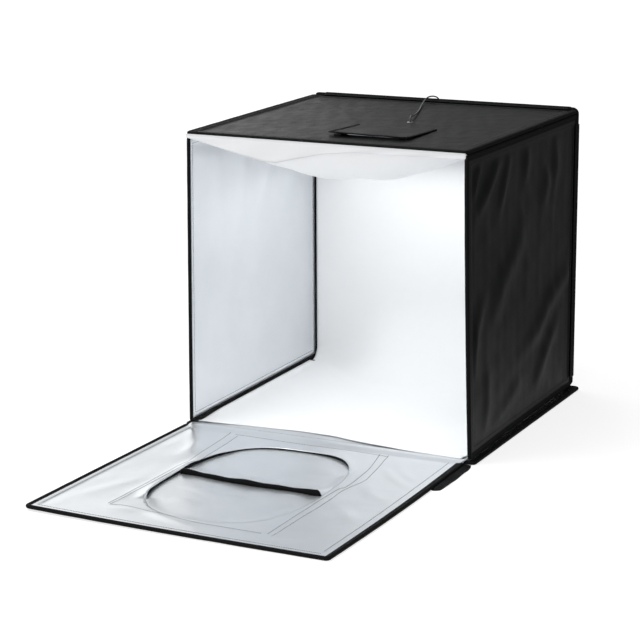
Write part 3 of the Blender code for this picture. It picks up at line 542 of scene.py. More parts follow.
def finish_piece(obj, body, slot_name, *nodes):
    if body:
        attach(obj, body)
    if nodes:
        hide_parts(*nodes)
    return obj


def flat_mesh(outline, cell, inside, holes=()):
    """Triangles over an outline with holes, from staggered rows of points. All loops are (n, 2) arrays."""
    low, high = outline.min(0), outline.max(0)
    rows = []
    b, odd = low[1] + cell / 2, 0
    while b < high[1]:
        a = np.arange(low[0] + cell * (0.5 + 0.5 * odd), high[0], cell)
        rows.append(np.stack([a, np.full_like(a, b)], 1))
        b += cell * 0.87
        odd = 1 - odd
    grid = np.concatenate(rows)
    grid = grid[inside(grid)]
    loops = [outline, *holes]
    points = np.concatenate([*loops, grid])
    edges, start = [], 0
    for loop in loops:
        count = len(loop)
        edges += [(start + i, start + (i + 1) % count) for i in range(count)]
        start += count
    made = delaunay_2d_cdt([Vector(p) for p in points], edges, [], 1, 1e-6)
    flat = np.array([tuple(v) for v in made[0]])
    faces = [list(face) for face in made[2]]
    centres = np.array([flat[face].mean(0) for face in faces])
    keep = inside(centres, 0.0)
    return flat, [face for face, good in zip(faces, keep) if good]


def ease(value, low, high):
    """0 below low, 1 above high, smooth between."""
    t = np.clip((value - low) / (high - low), 0, 1)
    return t * t * (3 - 2 * t)


def ripple(points, size, seed, waves=14):
    """A smooth random relief of about unit height with folds of that size."""
    pick = random.Random(seed)
    total = np.zeros(len(points))
    for _ in range(waves):
        angle = pick.uniform(0, math.tau)
        pace = math.tau / (size * pick.uniform(0.7, 1.8))
        phase = pick.uniform(0, math.tau)
        way = np.array((math.cos(angle), math.sin(angle)))
        total += np.sin(points @ way * pace + phase)
    return total / math.sqrt(waves)


def crumple(points, size, seed):
    """Sharp little creases: folded noise, between 0 and about 1."""
    shift = np.stack([ripple(points, size * 2, seed + 1, 8), ripple(points, size * 2, seed + 2, 8)], 1)
    bent = points + 0.3 * size * shift
    return np.clip(1 - np.abs(ripple(bent, size, seed, 10)), 0, 1) ** 2


def fold_relief(points, folds):
    """Sum of drawn folds. A fold is (path, width, height): a soft ridge along its path, fading at both ends."""
    total = np.zeros(len(points))
    for path, width, height in folds:
        line = np.array([tuple(p) for p in smooth_route(path, 5)])
        starts, ends = line[:-1], line[1:]
        steps = ends - starts
        lengths = (steps**2).sum(1)
        offset = points[:, None, :] - starts[None]
        t = np.clip((offset * steps[None]).sum(2) / lengths, 0, 1)
        gap = np.linalg.norm(offset - t[..., None] * steps[None], axis=2)
        nearest = gap.argmin(1)
        pick = np.arange(len(points))
        share = (nearest + t[pick, nearest]) / len(starts)
        fade = np.sin(math.pi * np.clip(share * 0.92 + 0.04, 0, 1)) ** 0.7
        total += height * fade * np.exp(-((gap[pick, nearest] / width) ** 2))
    return total


HEM_START = 0.0070
HEM_END = 0.016
OUTER_HEM_END = 0.020
LIP_HEIGHT = 0.00195
CLOTH_HEIGHT = 0.00085
CLOTH_THICKNESS = 0.0005
LAP_THICKNESS = 0.0003
STRIP_THICKNESS = 0.0006
CLEARANCE = 0.0003
SURFACES = {}


def panel_cloth(name, panel, side, relief, cell=0.006, holes=(), solid=None, hem=HEM_END):
    """One cloth of a panel, from under the bound edge over its hem to the middle. side is 1 inside and -1
    outside, and cut is the area of its holes."""
    outline, _ = panel.loop(HEM_START, cell)

    def inside(points, margin=cell * 0.55):
        good = panel.inset(points) > HEM_START + margin
        if solid is not None:
            good &= solid(points) > margin
        return good

    def surface(flat):
        depth = panel.inset(flat)
        height = LIP_HEIGHT + (CLOTH_HEIGHT - LIP_HEIGHT) * ease(depth, hem, hem + 0.005)
        height = height + 0.00025 * np.exp(-(((depth - hem) / 0.0022) ** 2))
        return height + relief(flat, depth)

    SURFACES[panel.name, side] = surface
    flat, faces = flat_mesh(outline, cell, inside, holes)
    points = panel.place(np.column_stack([flat, side * surface(flat)]))
    if side < 0:
        faces = [face[::-1] for face in faces]
    material = SILVER_LINING if side > 0 else BLACK_SHELL
    obj = thicken(piece(name, points, faces, [material], uv=flat), CLOTH_THICKNESS)
    return obj


# ---------------------------------------------------------------- bound edges

PIPING_SIDES = 14
ROD_SIDES = 8
ROD_RADIUS = 0.0020


def ring_mesh(name, panel, path, outs, radius, height, sides, material, lump=0.0):
    """A closed round bead along a loop of the panel."""
    count = len(path)
    gaps = np.linalg.norm(np.roll(path, -1, 0) - path, axis=1)
    runs = np.concatenate([[0], np.cumsum(gaps)])
    radii = radius + np.minimum(lump, 0.0001) * np.ones(count)
    points, faces, corner_uv = [], [], []
    girth = math.tau * radius / sides
    for i in range(count):
        for k in range(sides):
            angle = math.tau * k / sides
            flat = path[i] + outs[i] * radii[i] * math.cos(angle)
            points.append((flat[0], flat[1], height + radii[i] * math.sin(angle)))
        j = (i + 1) % count
        for k in range(sides):
            m = (k + 1) % sides
            faces.append([i * sides + k, j * sides + k, j * sides + m, i * sides + m])
            u, v = k * girth, (k + 1) * girth
            corner_uv += [(runs[i], u), (runs[i + 1], u), (runs[i + 1], v), (runs[i], v)]
    return piece(name, panel.place(points), faces, [material], corner_uv=corner_uv)


def make_bound_edge(panel, seed, share=1.0):
    """The round bound edge, with the slight lumps of cloth sewn over a rod, and the rod in it."""
    path, outs = panel.loop(panel.edge, 0.009)
    lump = ripple(path, 0.05, seed) * 0.00008
    radius = panel.edge * share - 0.0001
    bead = ring_mesh(
        panel.name + "_bound_edge", panel, path, outs, radius, 0.0, PIPING_SIDES, BLACK_BINDING, lump
    )
    finish_piece(bead, panel.name, "black_binding", panel.name + "_edge_binding")
    rod = ring_mesh(panel.name + "_rod", panel, path, outs, ROD_RADIUS, 0.0, ROD_SIDES, ROD)
    finish_piece(rod, panel.name, "rod_plastic", panel.name + "_frame_rod")


EDGE_SHARES = ((BASE, 1.0), (DOOR, 1.0), (BACK, 1.0), (LEFT, 0.88), (RIGHT, 1.06), (TOP, 1.0))
for number, (panel, share) in enumerate(EDGE_SHARES):
    make_bound_edge(panel, 10 + number, share)


# share of the way in, height, and whether that height is above the cloth
LAP_SECTION = (
    (0, 0.0031, 0), (0.3, 0.0029, 0), (0.6, 0.0027, 0), (0.9, 0.0006, 1), (1, 0.00045, 1), (1, -0.0002, 1)
)
LAP_START = 0.0062


def make_lap(panel, reaches, side=1, taper=None):
    """The black lap of the bound edge over the cloth's hem. reaches are how far it comes in from the outline at
    the sides a+, b+, a-, b-, and taper adds to that along the side a-."""
    surface = SURFACES[panel.name, side]
    rings = []
    for share, rise, from_cloth in LAP_SECTION:
        flat, outs = panel.loop([LAP_START + (reach - LAP_START) * share for reach in reaches], 0.007)
        if taper:
            flat[:, 0] += share * np.clip(-outs[:, 0], 0, 1) ** 2 * taper(flat[:, 1])
        level = surface(flat) + rise if from_cloth else np.full(len(flat), rise)
        rings.append((flat, level))
    count, n = len(rings[0][0]), len(rings)
    points = np.concatenate([np.column_stack([flat, side * level]) for flat, level in rings])
    uv = np.concatenate([flat for flat, _ in rings])
    faces = []
    for k in range(n - 1):
        for i in range(count):
            j = (i + 1) % count
            face = [k * count + i, k * count + j, (k + 1) * count + j, (k + 1) * count + i]
            faces.append(face if side > 0 else face[::-1])
    name = f"{panel.name}_{'inner' if side > 0 else 'outer'}_lap"
    obj = piece(name, panel.place(points), faces, [BLACK_BINDING], uv=uv)
    thicken(obj, LAP_THICKNESS)
    return finish_piece(obj, panel.name, "black_binding")


# ---------------------------------------------------------------- stitches

STITCH_LINES = {}


def add_stitches(panel, side, flat, thread):
    level = SURFACES[panel.name, side](flat) + 0.0001
    line = panel.place(np.column_stack([flat, side * level]))
    STITCH_LINES.setdefault((panel.name, thread), []).append(line)


def stitch_line(panel, side, line, thread="grey", smooth=4):
    """A row of stitches on a panel's cloth, through these (a, b)."""
    flat = np.array([tuple(point)[:2] for point in smooth_route([(*point, 0.0) for point in line], smooth)])
    add_stitches(panel, side, flat, thread)


def stitch_round(panel, side, inset, thread):
    """A row of stitches all round a panel's hem."""
    flat, _ = panel.loop(inset, 0.008)
    flat = np.concatenate([flat, flat[:1]])
    add_stitches(panel, side, flat, thread)


def new_tree(name, inputs):
    """A Geometry Nodes tree with these named inputs, its nodes for what goes in and comes out."""
    tree = bpy.data.node_groups.new(name, "GeometryNodeTree")
    tree.interface.new_socket("Geometry", in_out="INPUT", socket_type="NodeSocketGeometry")
    for socket, kind, value in inputs:
        made = tree.interface.new_socket(socket, in_out="INPUT", socket_type=kind)
        if value is not None:
            made.default_value = value
    tree.interface.new_socket("Geometry", in_out="OUTPUT", socket_type="NodeSocketGeometry")
    return tree, tree.nodes.new("NodeGroupInput"), tree.nodes.new("NodeGroupOutput")


def make_stitch_tree():
    """Threads set end to end along every line, each a little longer or shorter than the next."""
    tree, start, end = new_tree(
        "row_of_stitches",
        [
            ("Stitch pitch", "NodeSocketFloat", 0.0033),
            ("Stitch length", "NodeSocketFloat", 0.0026),
            ("Thread thickness", "NodeSocketFloat", 0.0010),
            ("Seed", "NodeSocketInt", 7),
            ("Thread", "NodeSocketMaterial", None),
        ],
    )
    link = tree.links.new
    line = node(tree, "GeometryNodeMeshToCurve")
    points = node(tree, "GeometryNodeResampleCurve", mode="LENGTH")
    thread = node(tree, "GeometryNodeMeshUVSphere", {"Segments": 6, "Rings": 4, "Radius": 0.5})
    way = node(tree, "GeometryNodeInputTangent")
    turn = node(tree, "FunctionNodeAlignRotationToVector", axis="X")
    vary = node(tree, "FunctionNodeRandomValue", data_type="FLOAT")
    vary.inputs[2].default_value, vary.inputs[3].default_value = 0.82, 1.06
    size = node(tree, "ShaderNodeCombineXYZ")
    place = node(tree, "GeometryNodeInstanceOnPoints")
    whole = node(tree, "GeometryNodeRealizeInstances")
    soft = node(tree, "GeometryNodeSetShadeSmooth")
    finish = node(tree, "GeometryNodeSetMaterial")
    link(start.outputs["Geometry"], line.inputs[0])
    link(line.outputs[0], points.inputs["Curve"])
    link(start.outputs["Stitch pitch"], points.inputs["Length"])
    link(way.outputs[0], turn.inputs["Vector"])
    link(start.outputs["Seed"], vary.inputs["Seed"])
    link(math_node(tree, "MULTIPLY", start.outputs["Stitch length"], vary.outputs[1]), size.inputs["X"])
    link(start.outputs["Thread thickness"], size.inputs["Y"])
    link(start.outputs["Thread thickness"], size.inputs["Z"])
    link(points.outputs[0], place.inputs["Points"])
    link(thread.outputs["Mesh"], place.inputs["Instance"])
    link(turn.outputs[0], place.inputs["Rotation"])
    link(size.outputs[0], place.inputs["Scale"])
    link(place.outputs[0], whole.inputs[0])
    link(whole.outputs[0], soft.inputs["Geometry"])
    link(soft.outputs[0], finish.inputs["Geometry"])
    link(start.outputs["Thread"], finish.inputs["Material"])
    link(finish.outputs[0], end.inputs["Geometry"])
    return tree


def grown(name, points, edges, tree, values):
    """What a Geometry Nodes tree makes of some lines, as a plain mesh."""
    mesh = bpy.data.meshes.new(name + "_lines")
    mesh.from_pydata([tuple(map(float, point)) for point in points], edges, [])
    holder = bpy.data.objects.new(name + "_lines", mesh)
    scene.collection.objects.link(holder)
    growth = holder.modifiers.new("growth", "NODES")
    growth.node_group = tree
    for item in tree.interface.items_tree:
        if item.item_type == "SOCKET" and item.in_out == "INPUT" and item.name in values:
            growth[item.identifier] = values[item.name]
    seen = bpy.context.evaluated_depsgraph_get()
    made = bpy.data.meshes.new_from_object(holder.evaluated_get(seen), depsgraph=seen)
    bpy.data.objects.remove(holder)
    made.name = name
    obj = bpy.data.objects.new(name, made)
    scene.collection.objects.link(obj)
    return obj


def sew():
    """One mesh of stitches for each panel and thread."""
    tree = make_stitch_tree()
    for number, ((body, thread), lines) in enumerate(STITCH_LINES.items()):
        points, edges = [], []
        for line in lines:
            edges += [(len(points) + i, len(points) + i + 1) for i in range(len(line) - 1)]
            points += list(line)
        material = GREY_THREAD if thread == "grey" else BLACK_THREAD
        obj = grown(f"{body}_{thread}_stitches", points, edges, tree, {"Thread": material, "Seed": number})
        finish_piece(obj, body, "silver_cloth" if thread == "grey" else "black_cloth")


# ---------------------------------------------------------------- door

WINDOW_MIDDLE = (0.010, 0.290)
WINDOW_HALF = (0.149, 0.224)
WINDOW_POWER = 2.8
PATCH_LEFT, PATCH_RIGHT = 0.177, -0.157
PATCH_REAR, PATCH_FRONT = 0.033, 0.516


def window_outline(grow=0.0, count=120):
    angles = np.arange(count) * math.tau / count
    across = np.sign(np.cos(angles)) * np.abs(np.cos(angles)) ** (2 / WINDOW_POWER)
    along = np.sign(np.sin(angles)) * np.abs(np.sin(angles)) ** (2 / WINDOW_POWER)
    return np.stack(
        [WINDOW_MIDDLE[0] + (WINDOW_HALF[0] + grow) * across, WINDOW_MIDDLE[1] + (WINDOW_HALF[1] + grow) * along], 1
    )


def window_gap(points):
    """Roughly how far outside the door's window each point lies."""
    a = (points[:, 0] - WINDOW_MIDDLE[0]) / WINDOW_HALF[0]
    b = (points[:, 1] - WINDOW_MIDDLE[1]) / WINDOW_HALF[1]
    reach = (np.abs(a) ** WINDOW_POWER + np.abs(b) ** WINDOW_POWER) ** (1 / WINDOW_POWER)
    away = np.hypot(points[:, 0] - WINDOW_MIDDLE[0], points[:, 1] - WINDOW_MIDDLE[1])
    return (reach - 1) * away / np.maximum(reach, 1e-6)


# The black rim is the window's binding. Where it shows tall, it is also a black wall in the gap under the lifted
# lining: painted shade.
# way from the window's middle in degrees, height of the rim that shows in millimetres
RIM_SHOWN = np.array(
    [(-180, 0.2), (-150, 0.2), (-140, 0.5), (-137, 2), (-131, 5), (-115, 6), (-99, 3.5), (-88, 3), (-80, 3),
     (-67, 2), (-57, 2), (-45, 4), (-31, 5.5), (-16, 8), (-6, 5), (8, 3.5), (21, 3.5), (36, 5), (46, 9), (49, 9),
     (52, 0.3), (180, 0.2)]
)


def rim_shown(points):
    """How much of the window's black rim shows, in metres, by the way from the window's middle."""
    angle = np.degrees(np.arctan2(points[:, 1] - WINDOW_MIDDLE[1], points[:, 0] - WINDOW_MIDDLE[0]))
    return np.interp(angle, RIM_SHOWN[:, 0], RIM_SHOWN[:, 1]) / 1000


def rim_lift(points):
    """The lining stands up along the window where the black rim shows tall."""
    near = np.exp(-((np.maximum(window_gap(points), 0) / 0.014) ** 2))
    return near * np.clip(rim_shown(points) - 0.0029, 0, 0.0045)


DOOR_FOLDS = [
    ([(0.288, 0.001), (0.24, 0.06), (0.198, 0.177)], 0.020, 0.0018),
    ([(0.235, 0.03), (0.215, 0.10), (0.21, 0.19)], 0.012, 0.0012),
    ([(-0.19, 0.05), (-0.21, 0.10), (-0.255, 0.15)], 0.012, 0.0018),
    ([(-0.18, 0.10), (-0.215, 0.15), (-0.26, 0.19)], 0.011, 0.0016),
    ([(-0.19, 0.20), (-0.215, 0.25), (-0.25, 0.28)], 0.014, 0.0014),
    ([(-0.185, 0.33), (-0.22, 0.37), (-0.255, 0.42)], 0.018, 0.0012),
    ([(0.165, 0.53), (0.10, 0.52), (0.03, 0.545), (-0.05, 0.55)], 0.010, 0.0016),
    ([(0.09, 0.515), (0.04, 0.535), (-0.03, 0.56)], 0.008, 0.0014),
    ([(0.20, 0.36), (0.225, 0.42), (0.25, 0.50)], 0.018, 0.0012),
]


DOOR_TAPE_RIDGES = [
    (path, 0.0085, 0.0009)
    for path in (
        [(-0.1405, 0.022), (-0.162, 0.150), (-0.166, 0.210), (-0.156, 0.270), (-0.155, 0.330), (-0.155, 0.527)],
        [(0.182, 0.025), (0.1675, 0.180), (0.1655, 0.235), (0.171, 0.290), (0.175, 0.510)],
    )
]


def door_relief(points, depth):
    open_cloth = ease(depth, 0.018, 0.045)
    relief = 0.0010 * open_cloth * (0.5 + 0.5 * ripple(points, 0.11, 3))
    relief += 0.00012 * open_cloth * crumple(points, 0.035, 5)
    relief += open_cloth * fold_relief(points, DOOR_FOLDS)
    relief += rim_lift(points)
    relief += fold_relief(points, DOOR_TAPE_RIDGES)
    return np.maximum(relief, 0)


window_loop = window_outline()[::-1]
door_lining = panel_cloth("door_silver_lining", DOOR, 1, door_relief, 0.005, [window_loop], window_gap)
finish_piece(door_lining, "door", "silver_cloth", "door_lining")
door_shell = panel_cloth(
    "door_outer_cloth", DOOR, -1, lambda p, d: 0.0002 * ease(d, 0.018, 0.03) * crumple(p, 0.05, 6), 0.009,
    [window_loop], window_gap,
)
finish_piece(door_shell, "door", "black_cloth", "door_shell")
make_lap(
    DOOR, (0.0095, 0.0085, 0.0105, 0.0075),
    taper=lambda b: np.interp(b, (0, 0.06, 0.2, 0.35, 0.594), (0.0035, 0.0030, 0.0022, 0.0015, 0)),
)
for row in (
    [(-0.150, 0.024), (-0.171, 0.157), (-0.173, 0.197), (-0.162, 0.262), (-0.164, 0.329), (-0.161, 0.531)],
    [(-0.131, 0.021), (-0.152, 0.125), (-0.159, 0.234), (-0.150, 0.273), (-0.149, 0.524)],
    [(0.193, 0.018), (0.176, 0.207), (0.176, 0.252), (0.176, 0.313), (0.178, 0.508)],
    [(0.171, 0.032), (0.159, 0.167), (0.155, 0.224), (0.166, 0.265), (0.172, 0.510)],
    [(0.178, 0.024), (0.127, 0.024), (0.040, 0.027), (-0.039, 0.025), (-0.105, 0.026), (-0.150, 0.030)],
    [(0.171, 0.513), (0.142, 0.507), (0.091, 0.514), (0.065, 0.513), (0.006, 0.527), (-0.046, 0.529), (-0.136, 0.527)],
    [(-0.272, 0.018), (-0.272, 0.200), (-0.274, 0.400), (-0.275, 0.560)],
    [(0.280, 0.018), (0.281, 0.300), (0.281, 0.560)],
    [(0.281, 0.576), (0.100, 0.577), (-0.100, 0.576), (-0.275, 0.575)],
):
    stitch_line(DOOR, 1, row, smooth=24)
stitch_round(DOOR, -1, 0.0165, "black")


def uv_square(i, k, u, v):
    """The UV corners of cell i, k in a grid with cells of u by v."""
    return [(i * u, k * v), (i * u + u, k * v), (i * u + u, k * v + v), (i * u, k * v + v)]


def make_window_wall():
    """The black bound edge of the window's hole, from the lining's rim down to the flaps. Where the lining stands up,
    the wall also fills the gap beneath it with black: partly binding, partly painted shade.
    """
    rim = window_outline(0.0004)
    lifted = CLOTH_HEIGHT - 0.0002 + door_relief(rim, DOOR.inset(rim)) - 0.0001
    profile = [(0.0, 0.0), (0.0009, 0.0), (0.0009, 1.0), (0.0, 1.0)]
    low = -0.0026
    points, faces, corner_uv = [], [], []
    normals = rim - np.array(WINDOW_MIDDLE)
    normals /= np.linalg.norm(normals, axis=1)[:, None]
    count = len(rim)
    for i in range(count):
        for out, up in profile:
            flat = rim[i] + normals[i] * out
            points.append((*flat, low + (lifted[i] - low) * up))
    for i in range(count):
        j = (i + 1) % count
        for k in range(4):
            m = (k + 1) % 4
            faces.append([i * 4 + k, j * 4 + k, j * 4 + m, i * 4 + m])
            corner_uv += uv_square(i, k, 0.009, 0.003)
    faces = [face[::-1] for face in faces]
    obj = piece("door_window_bound_rim", DOOR.place(points), faces, [BLACK_BINDING], corner_uv=corner_uv, smooth=False)
    return finish_piece(obj, "door", "black_binding")


make_window_wall()

SLIT_TILT = -0.028


def slit_at(a):
    """Where the slit between the window's flaps runs, a little slanted and wavy."""
    return 0.2925 + SLIT_TILT * (a - 0.010) + 0.0040 * (1 - ((a - 0.010) / 0.15) ** 2) + 0.0022 * np.sin(a * 31 + 0.6)


def flap_level(flat, free, rear):
    """Height of a flap's cloth: it sags between its edges, and its free edge stands up in the window."""
    within = ease(-window_gap(flat), 0.004, 0.035)
    inner = ease(0.146 - np.abs(flat[:, 0] - 0.010), 0.0, 0.004 if rear else 0.04)
    lift = (0.0092 + 0.0010 * np.sin(flat[:, 0] * 44 + 1.0) + 0.0006 * np.sin(flat[:, 0] * 97)) if rear else 0.0011
    rise = lift * inner * (1 - np.clip(np.abs(flat[:, 1] - free) / 0.075, 0, 1)) ** 2
    raised = np.exp(-((window_gap(flat) / 0.014) ** 2)) * np.clip(0.0029 - rim_shown(flat), 0, 0.0025)
    calm = 1 - ease(-np.abs(flat[:, 1] - free), -0.02, -0.004)
    slack = 0.0010 * np.clip(ripple(flat, 0.09, 22 if rear else 21), 0, 2) + 0.00012 * crumple(flat, 0.03, 25)
    return -0.00235 + within * (0.3 + 0.7 * calm) * slack + rise + raised


def make_door_flap(name, body, rear):
    """One half of the window's cover, with a black fold bound round its free edge. On the rear flap that fold hangs
    down to the door's floor as a black face: its top is the binding, the rest is painted shade for the gap under the
    raised edge.
    """
    a = np.linspace(PATCH_RIGHT + 0.001, PATCH_LEFT - 0.001, 90)
    rows = 50
    hinge = PATCH_REAR if rear else PATCH_FRONT
    free = slit_at(a) - (0.0008 if rear else -0.0008)
    points, uv = [], []
    for r in range(rows):
        t = (r / (rows - 1)) ** 0.8
        flat = np.stack([a, hinge + (free - hinge) * t], 1)
        points += [tuple(p) for p in np.column_stack([flat, flap_level(flat, free, rear)])]
        uv += [tuple(p) for p in flat]
    count = len(a)
    faces = [face if rear else face[::-1] for face in grid_faces(rows, count)]
    cloth = piece(name + "_cloth", DOOR.place(points), faces, [SILVER_LINING, BLACK_SHELL], uv=uv)
    thicken(cloth, CLOTH_THICKNESS, inner_slot=1)
    finish_piece(cloth, body, "black_cloth", name)
    edge = np.array(points[-count:])
    edge = edge[(edge[:, 0] > -0.139) & (edge[:, 0] < 0.159)]
    way = 1 if rear else -1
    ring, faces, corner_uv = [], [], []
    floor = -DOOR.edge + 0.0002
    for x, y, z in edge:
        if rear:
            # Painted shade: the rear edge's black face hangs to the door's floor, filling the shaded gap under the
            # raised edge.
            foot = max(min(-0.0028, z - 0.0012), floor)
            section = [
                (-0.0028, z + 0.0004), (-0.0006, z + 0.0006), (0.0008, z + 0.0001), (0.0008, foot), (0, foot),
                (-0.0028, z - 0.0010),
            ]
        else:
            section = [
                (-0.0060, z - 0.0006), (-0.0002, z - 0.0006), (0.0002, z - 0.0009), (-0.0002, z - 0.0012),
                (-0.0060, z - 0.0012),
            ]
        ring += [(x, y + way * out, max(height, floor)) for out, height in section]
    n = len(section)
    for i in range(len(edge) - 1):
        for k in range(n):
            m = (k + 1) % n
            face = [i * n + k, (i + 1) * n + k, (i + 1) * n + m, i * n + m]
            step = uv_square(i, k, 0.004, 0.001)
            faces.append(face if not rear else face[::-1])
            corner_uv += step if not rear else step[::-1]
    for first, last in ((0, True), ((len(edge) - 1) * n, False)):
        cap = [first + k for k in range(n)]
        faces.append(cap if last != rear else cap[::-1])
        corner_uv += [(0, 0)] * n
    bound = piece(name + "_bound_edge", DOOR.place(ring), faces, [BLACK_BINDING], corner_uv=corner_uv)
    finish_piece(bound, body, "black_binding", name + "_binding")


make_door_flap("door_lower_flap", "door_lower_flap", True)
make_door_flap("door_upper_flap", "door_upper_flap", False)


def make_hook_tape(name, panel, level):
    """A strip of hook tape that follows the panel's warp, standing for the CAD's straight one."""
    low, high = part_box(name)
    ends = (np.array([low, high]) - panel.start) @ panel.ways.T
    low_a, high_a = sorted(ends[:, 0])
    low_b, high_b = sorted(ends[:, 1])
    count, across = 80, 5
    flat = np.array(
        [
            (low_a + (high_a - low_a) * k / (across - 1), low_b + (high_b - low_b) * i / (count - 1))
            for i in range(count) for k in range(across)
        ]
    )
    crown = 0.0002 * (1 - ((flat[:, 0] - (low_a + high_a) / 2) / (high_a - low_a) * 2) ** 2)
    points = panel.place(np.column_stack([flat, level - crown * np.sign(-level + 1e-9)]))
    faces = grid_faces(count, across)
    obj = thicken(piece(name + "_pile", points, faces, [BLACK_TAPE], uv=flat), 0.0007)
    return finish_piece(obj, panel.name, "hook_tape", name)


make_hook_tape("door_window_left_tape", DOOR, -0.0014)
make_hook_tape("door_window_right_tape", DOOR, -0.0014)


def make_loose_hem():
    """The black cloth tongue that has come out from under the door's right edge, beside the hinge."""
    low, high = part_box("door_loose_hem")
    first, last = DOOR.start[1] - high[1], DOOR.start[1] - 0.0008 - low[1]
    reach = np.array(
        [(0, 0.0130), (0.012, 0.0168), (0.03, 0.0185), (0.08, 0.0185), (0.13, 0.0180), (0.162, 0.0150), (0.169, 0.0085),
         (0.171, 0.0015)]
    )
    count, across = 70, 12
    flat, level = [], []
    for i in range(count):
        b = first + (last - first) * i / (count - 1)
        out = float(np.interp(b - first, reach[:, 0], reach[:, 1]))
        for k in range(across):
            t = k / (across - 1)
            flat.append((-(0.2960 + (out + 0.0030) * t), b))
            wave = 0.0006 * t * math.sin(b * 95 + 2.2 * t)
            level.append(0.0014 + 0.0022 * (1 - t) ** 1.6 + wave - DOOR.edge)
    flat = np.array(flat)
    points = DOOR.place(np.column_stack([flat, level]))
    faces = [face[::-1] for face in grid_faces(count, across)]
    obj = thicken(piece("door_loose_tongue", points, faces, [BLACK_BINDING], uv=flat), CLOTH_THICKNESS)
    finish_piece(obj, "door", "black_cloth", "door_loose_hem")


make_loose_hem()

# ---------------------------------------------------------------- base

base_lining = panel_cloth(
    "base_silver_lining", BASE, 1,
    lambda p, d: 0.0010 * ease(d, 0.017, 0.024) * ease(-p[:, 1], -0.034, -0.020) * crumple(p, 0.03, 8), 0.008,
)
finish_piece(base_lining, "base", "silver_cloth", "base_lining")
ground_cloth = panel_cloth("base_ground_hem", BASE, -1, lambda p, d: 0.0010 * ease(d, 0.018, 0.024), 0.010)
finish_piece(ground_cloth, "base", "black_cloth", "base_ground_cloth")
make_lap(BASE, (0.0240, 0.0085, 0.0180, 0.0085))
stitch_round(BASE, 1, 0.0180, "grey")
stitch_round(BASE, -1, 0.0165, "black")

# ---------------------------------------------------------------- sides

INNER_SEAM, OUTER_SEAM = 0.0178, 0.0205
RIGHT_FOLDS = [
    ([(-0.263, 0.380), (-0.221, 0.403), (-0.156, 0.432)], 0.016, 0.0022),
    ([(-0.271, 0.430), (-0.235, 0.466), (-0.201, 0.507), (-0.175, 0.542)], 0.018, 0.0028),
    ([(-0.259, 0.283), (-0.227, 0.292), (-0.194, 0.293)], 0.017, 0.0020),
    ([(-0.275, 0.521), (-0.243, 0.544), (-0.209, 0.560)], 0.012, 0.0018),
    ([(-0.211, 0.186), (-0.175, 0.177), (-0.130, 0.190)], 0.020, 0.0018),
    ([(-0.265, 0.130), (-0.210, 0.120), (-0.150, 0.130)], 0.020, 0.0016),
    ([(-0.120, 0.280), (-0.061, 0.352), (-0.016, 0.413), (0.040, 0.461)], 0.030, 0.0030),
    ([(0.030, 0.030), (0.041, 0.058), (0.076, 0.156), (0.115, 0.209), (0.150, 0.300)], 0.024, 0.0026),
    ([(0.112, 0.082), (0.176, 0.164), (0.241, 0.230)], 0.022, 0.0022),
    ([(-0.010, 0.500), (0.050, 0.550), (0.120, 0.565)], 0.020, 0.0018),
    ([(0.200, 0.300), (0.230, 0.370), (0.255, 0.450)], 0.022, 0.0016),
    ([(0.262, 0.510), (0.200, 0.490), (0.140, 0.490)], 0.020, 0.0014),
]


def outer_relief(folds, seed, broad=0.0010):
    def relief(points, depth):
        open_cloth = ease(depth, 0.019, 0.040)
        height = broad * open_cloth * (0.6 + 0.4 * ripple(points, 0.16, seed))
        height += 0.0004 * open_cloth * ripple(points, 0.045, seed + 3)
        height += 2.6 * open_cloth * fold_relief(points, folds)
        return np.clip(height, 0, 0.0090)

    return relief


def mirrored(folds):
    return [([(-a, b) for a, b in path], width, height) for path, width, height in folds]


right_shell = panel_cloth("right_outer_cloth", RIGHT, -1, outer_relief(RIGHT_FOLDS, 31), 0.0055, hem=OUTER_HEM_END)
finish_piece(right_shell, "right_side", "black_cloth", "right_side_shell")
left_relief = outer_relief(mirrored(RIGHT_FOLDS), 37)
left_shell = panel_cloth("left_outer_cloth", LEFT, -1, left_relief, 0.007, hem=OUTER_HEM_END)
finish_piece(left_shell, "left_side", "black_cloth", "left_side_shell")

LEFT_INNER_FOLDS = [
    ([(0.262, 0.470), (0.205, 0.465), (0.140, 0.470)], 0.028, 0.0020),
    ([(0.262, 0.360), (0.200, 0.350), (0.120, 0.365)], 0.024, 0.0026),
    ([(0.260, 0.245), (0.190, 0.240), (0.130, 0.255)], 0.026, 0.0024),
    ([(0.250, 0.120), (0.170, 0.125), (0.090, 0.140)], 0.030, 0.0022),
    ([(0.100, 0.500), (0.030, 0.480), (-0.040, 0.430)], 0.036, 0.0020),
    ([(0.080, 0.300), (0.000, 0.280), (-0.080, 0.250)], 0.040, 0.0018),
    ([(-0.100, 0.450), (-0.170, 0.420), (-0.230, 0.360)], 0.032, 0.0018),
    ([(-0.120, 0.200), (-0.190, 0.170), (-0.250, 0.120)], 0.030, 0.0018),
]


def inner_relief(folds, seed):
    def relief(points, depth):
        open_cloth = ease(depth, 0.018, 0.055)
        height = 0.0009 + 0.0008 * ripple(points, 0.24, seed) + 0.00003 * ripple(points, 0.06, seed + 5)
        height *= open_cloth
        height += open_cloth * fold_relief(points, folds)
        return np.clip(height, 0, 0.005)

    return relief


left_lining = panel_cloth("left_silver_lining", LEFT, 1, inner_relief(LEFT_INNER_FOLDS, 41), 0.007)
finish_piece(left_lining, "left_side", "silver_cloth", "left_side_lining")
right_lining = panel_cloth("right_silver_lining", RIGHT, 1, inner_relief(mirrored(LEFT_INNER_FOLDS), 47), 0.008)
finish_piece(right_lining, "right_side", "silver_cloth", "right_side_lining")
for side in (LEFT, RIGHT):
    make_lap(side, (0.008, 0.008, 0.008, 0.0066))
    make_lap(side, (0.012, 0.010, 0.012, 0.010), side=-1)
    stitch_round(side, 1, INNER_SEAM, "grey")
    stitch_round(side, -1, OUTER_SEAM, "black")

# ---------------------------------------------------------------- back

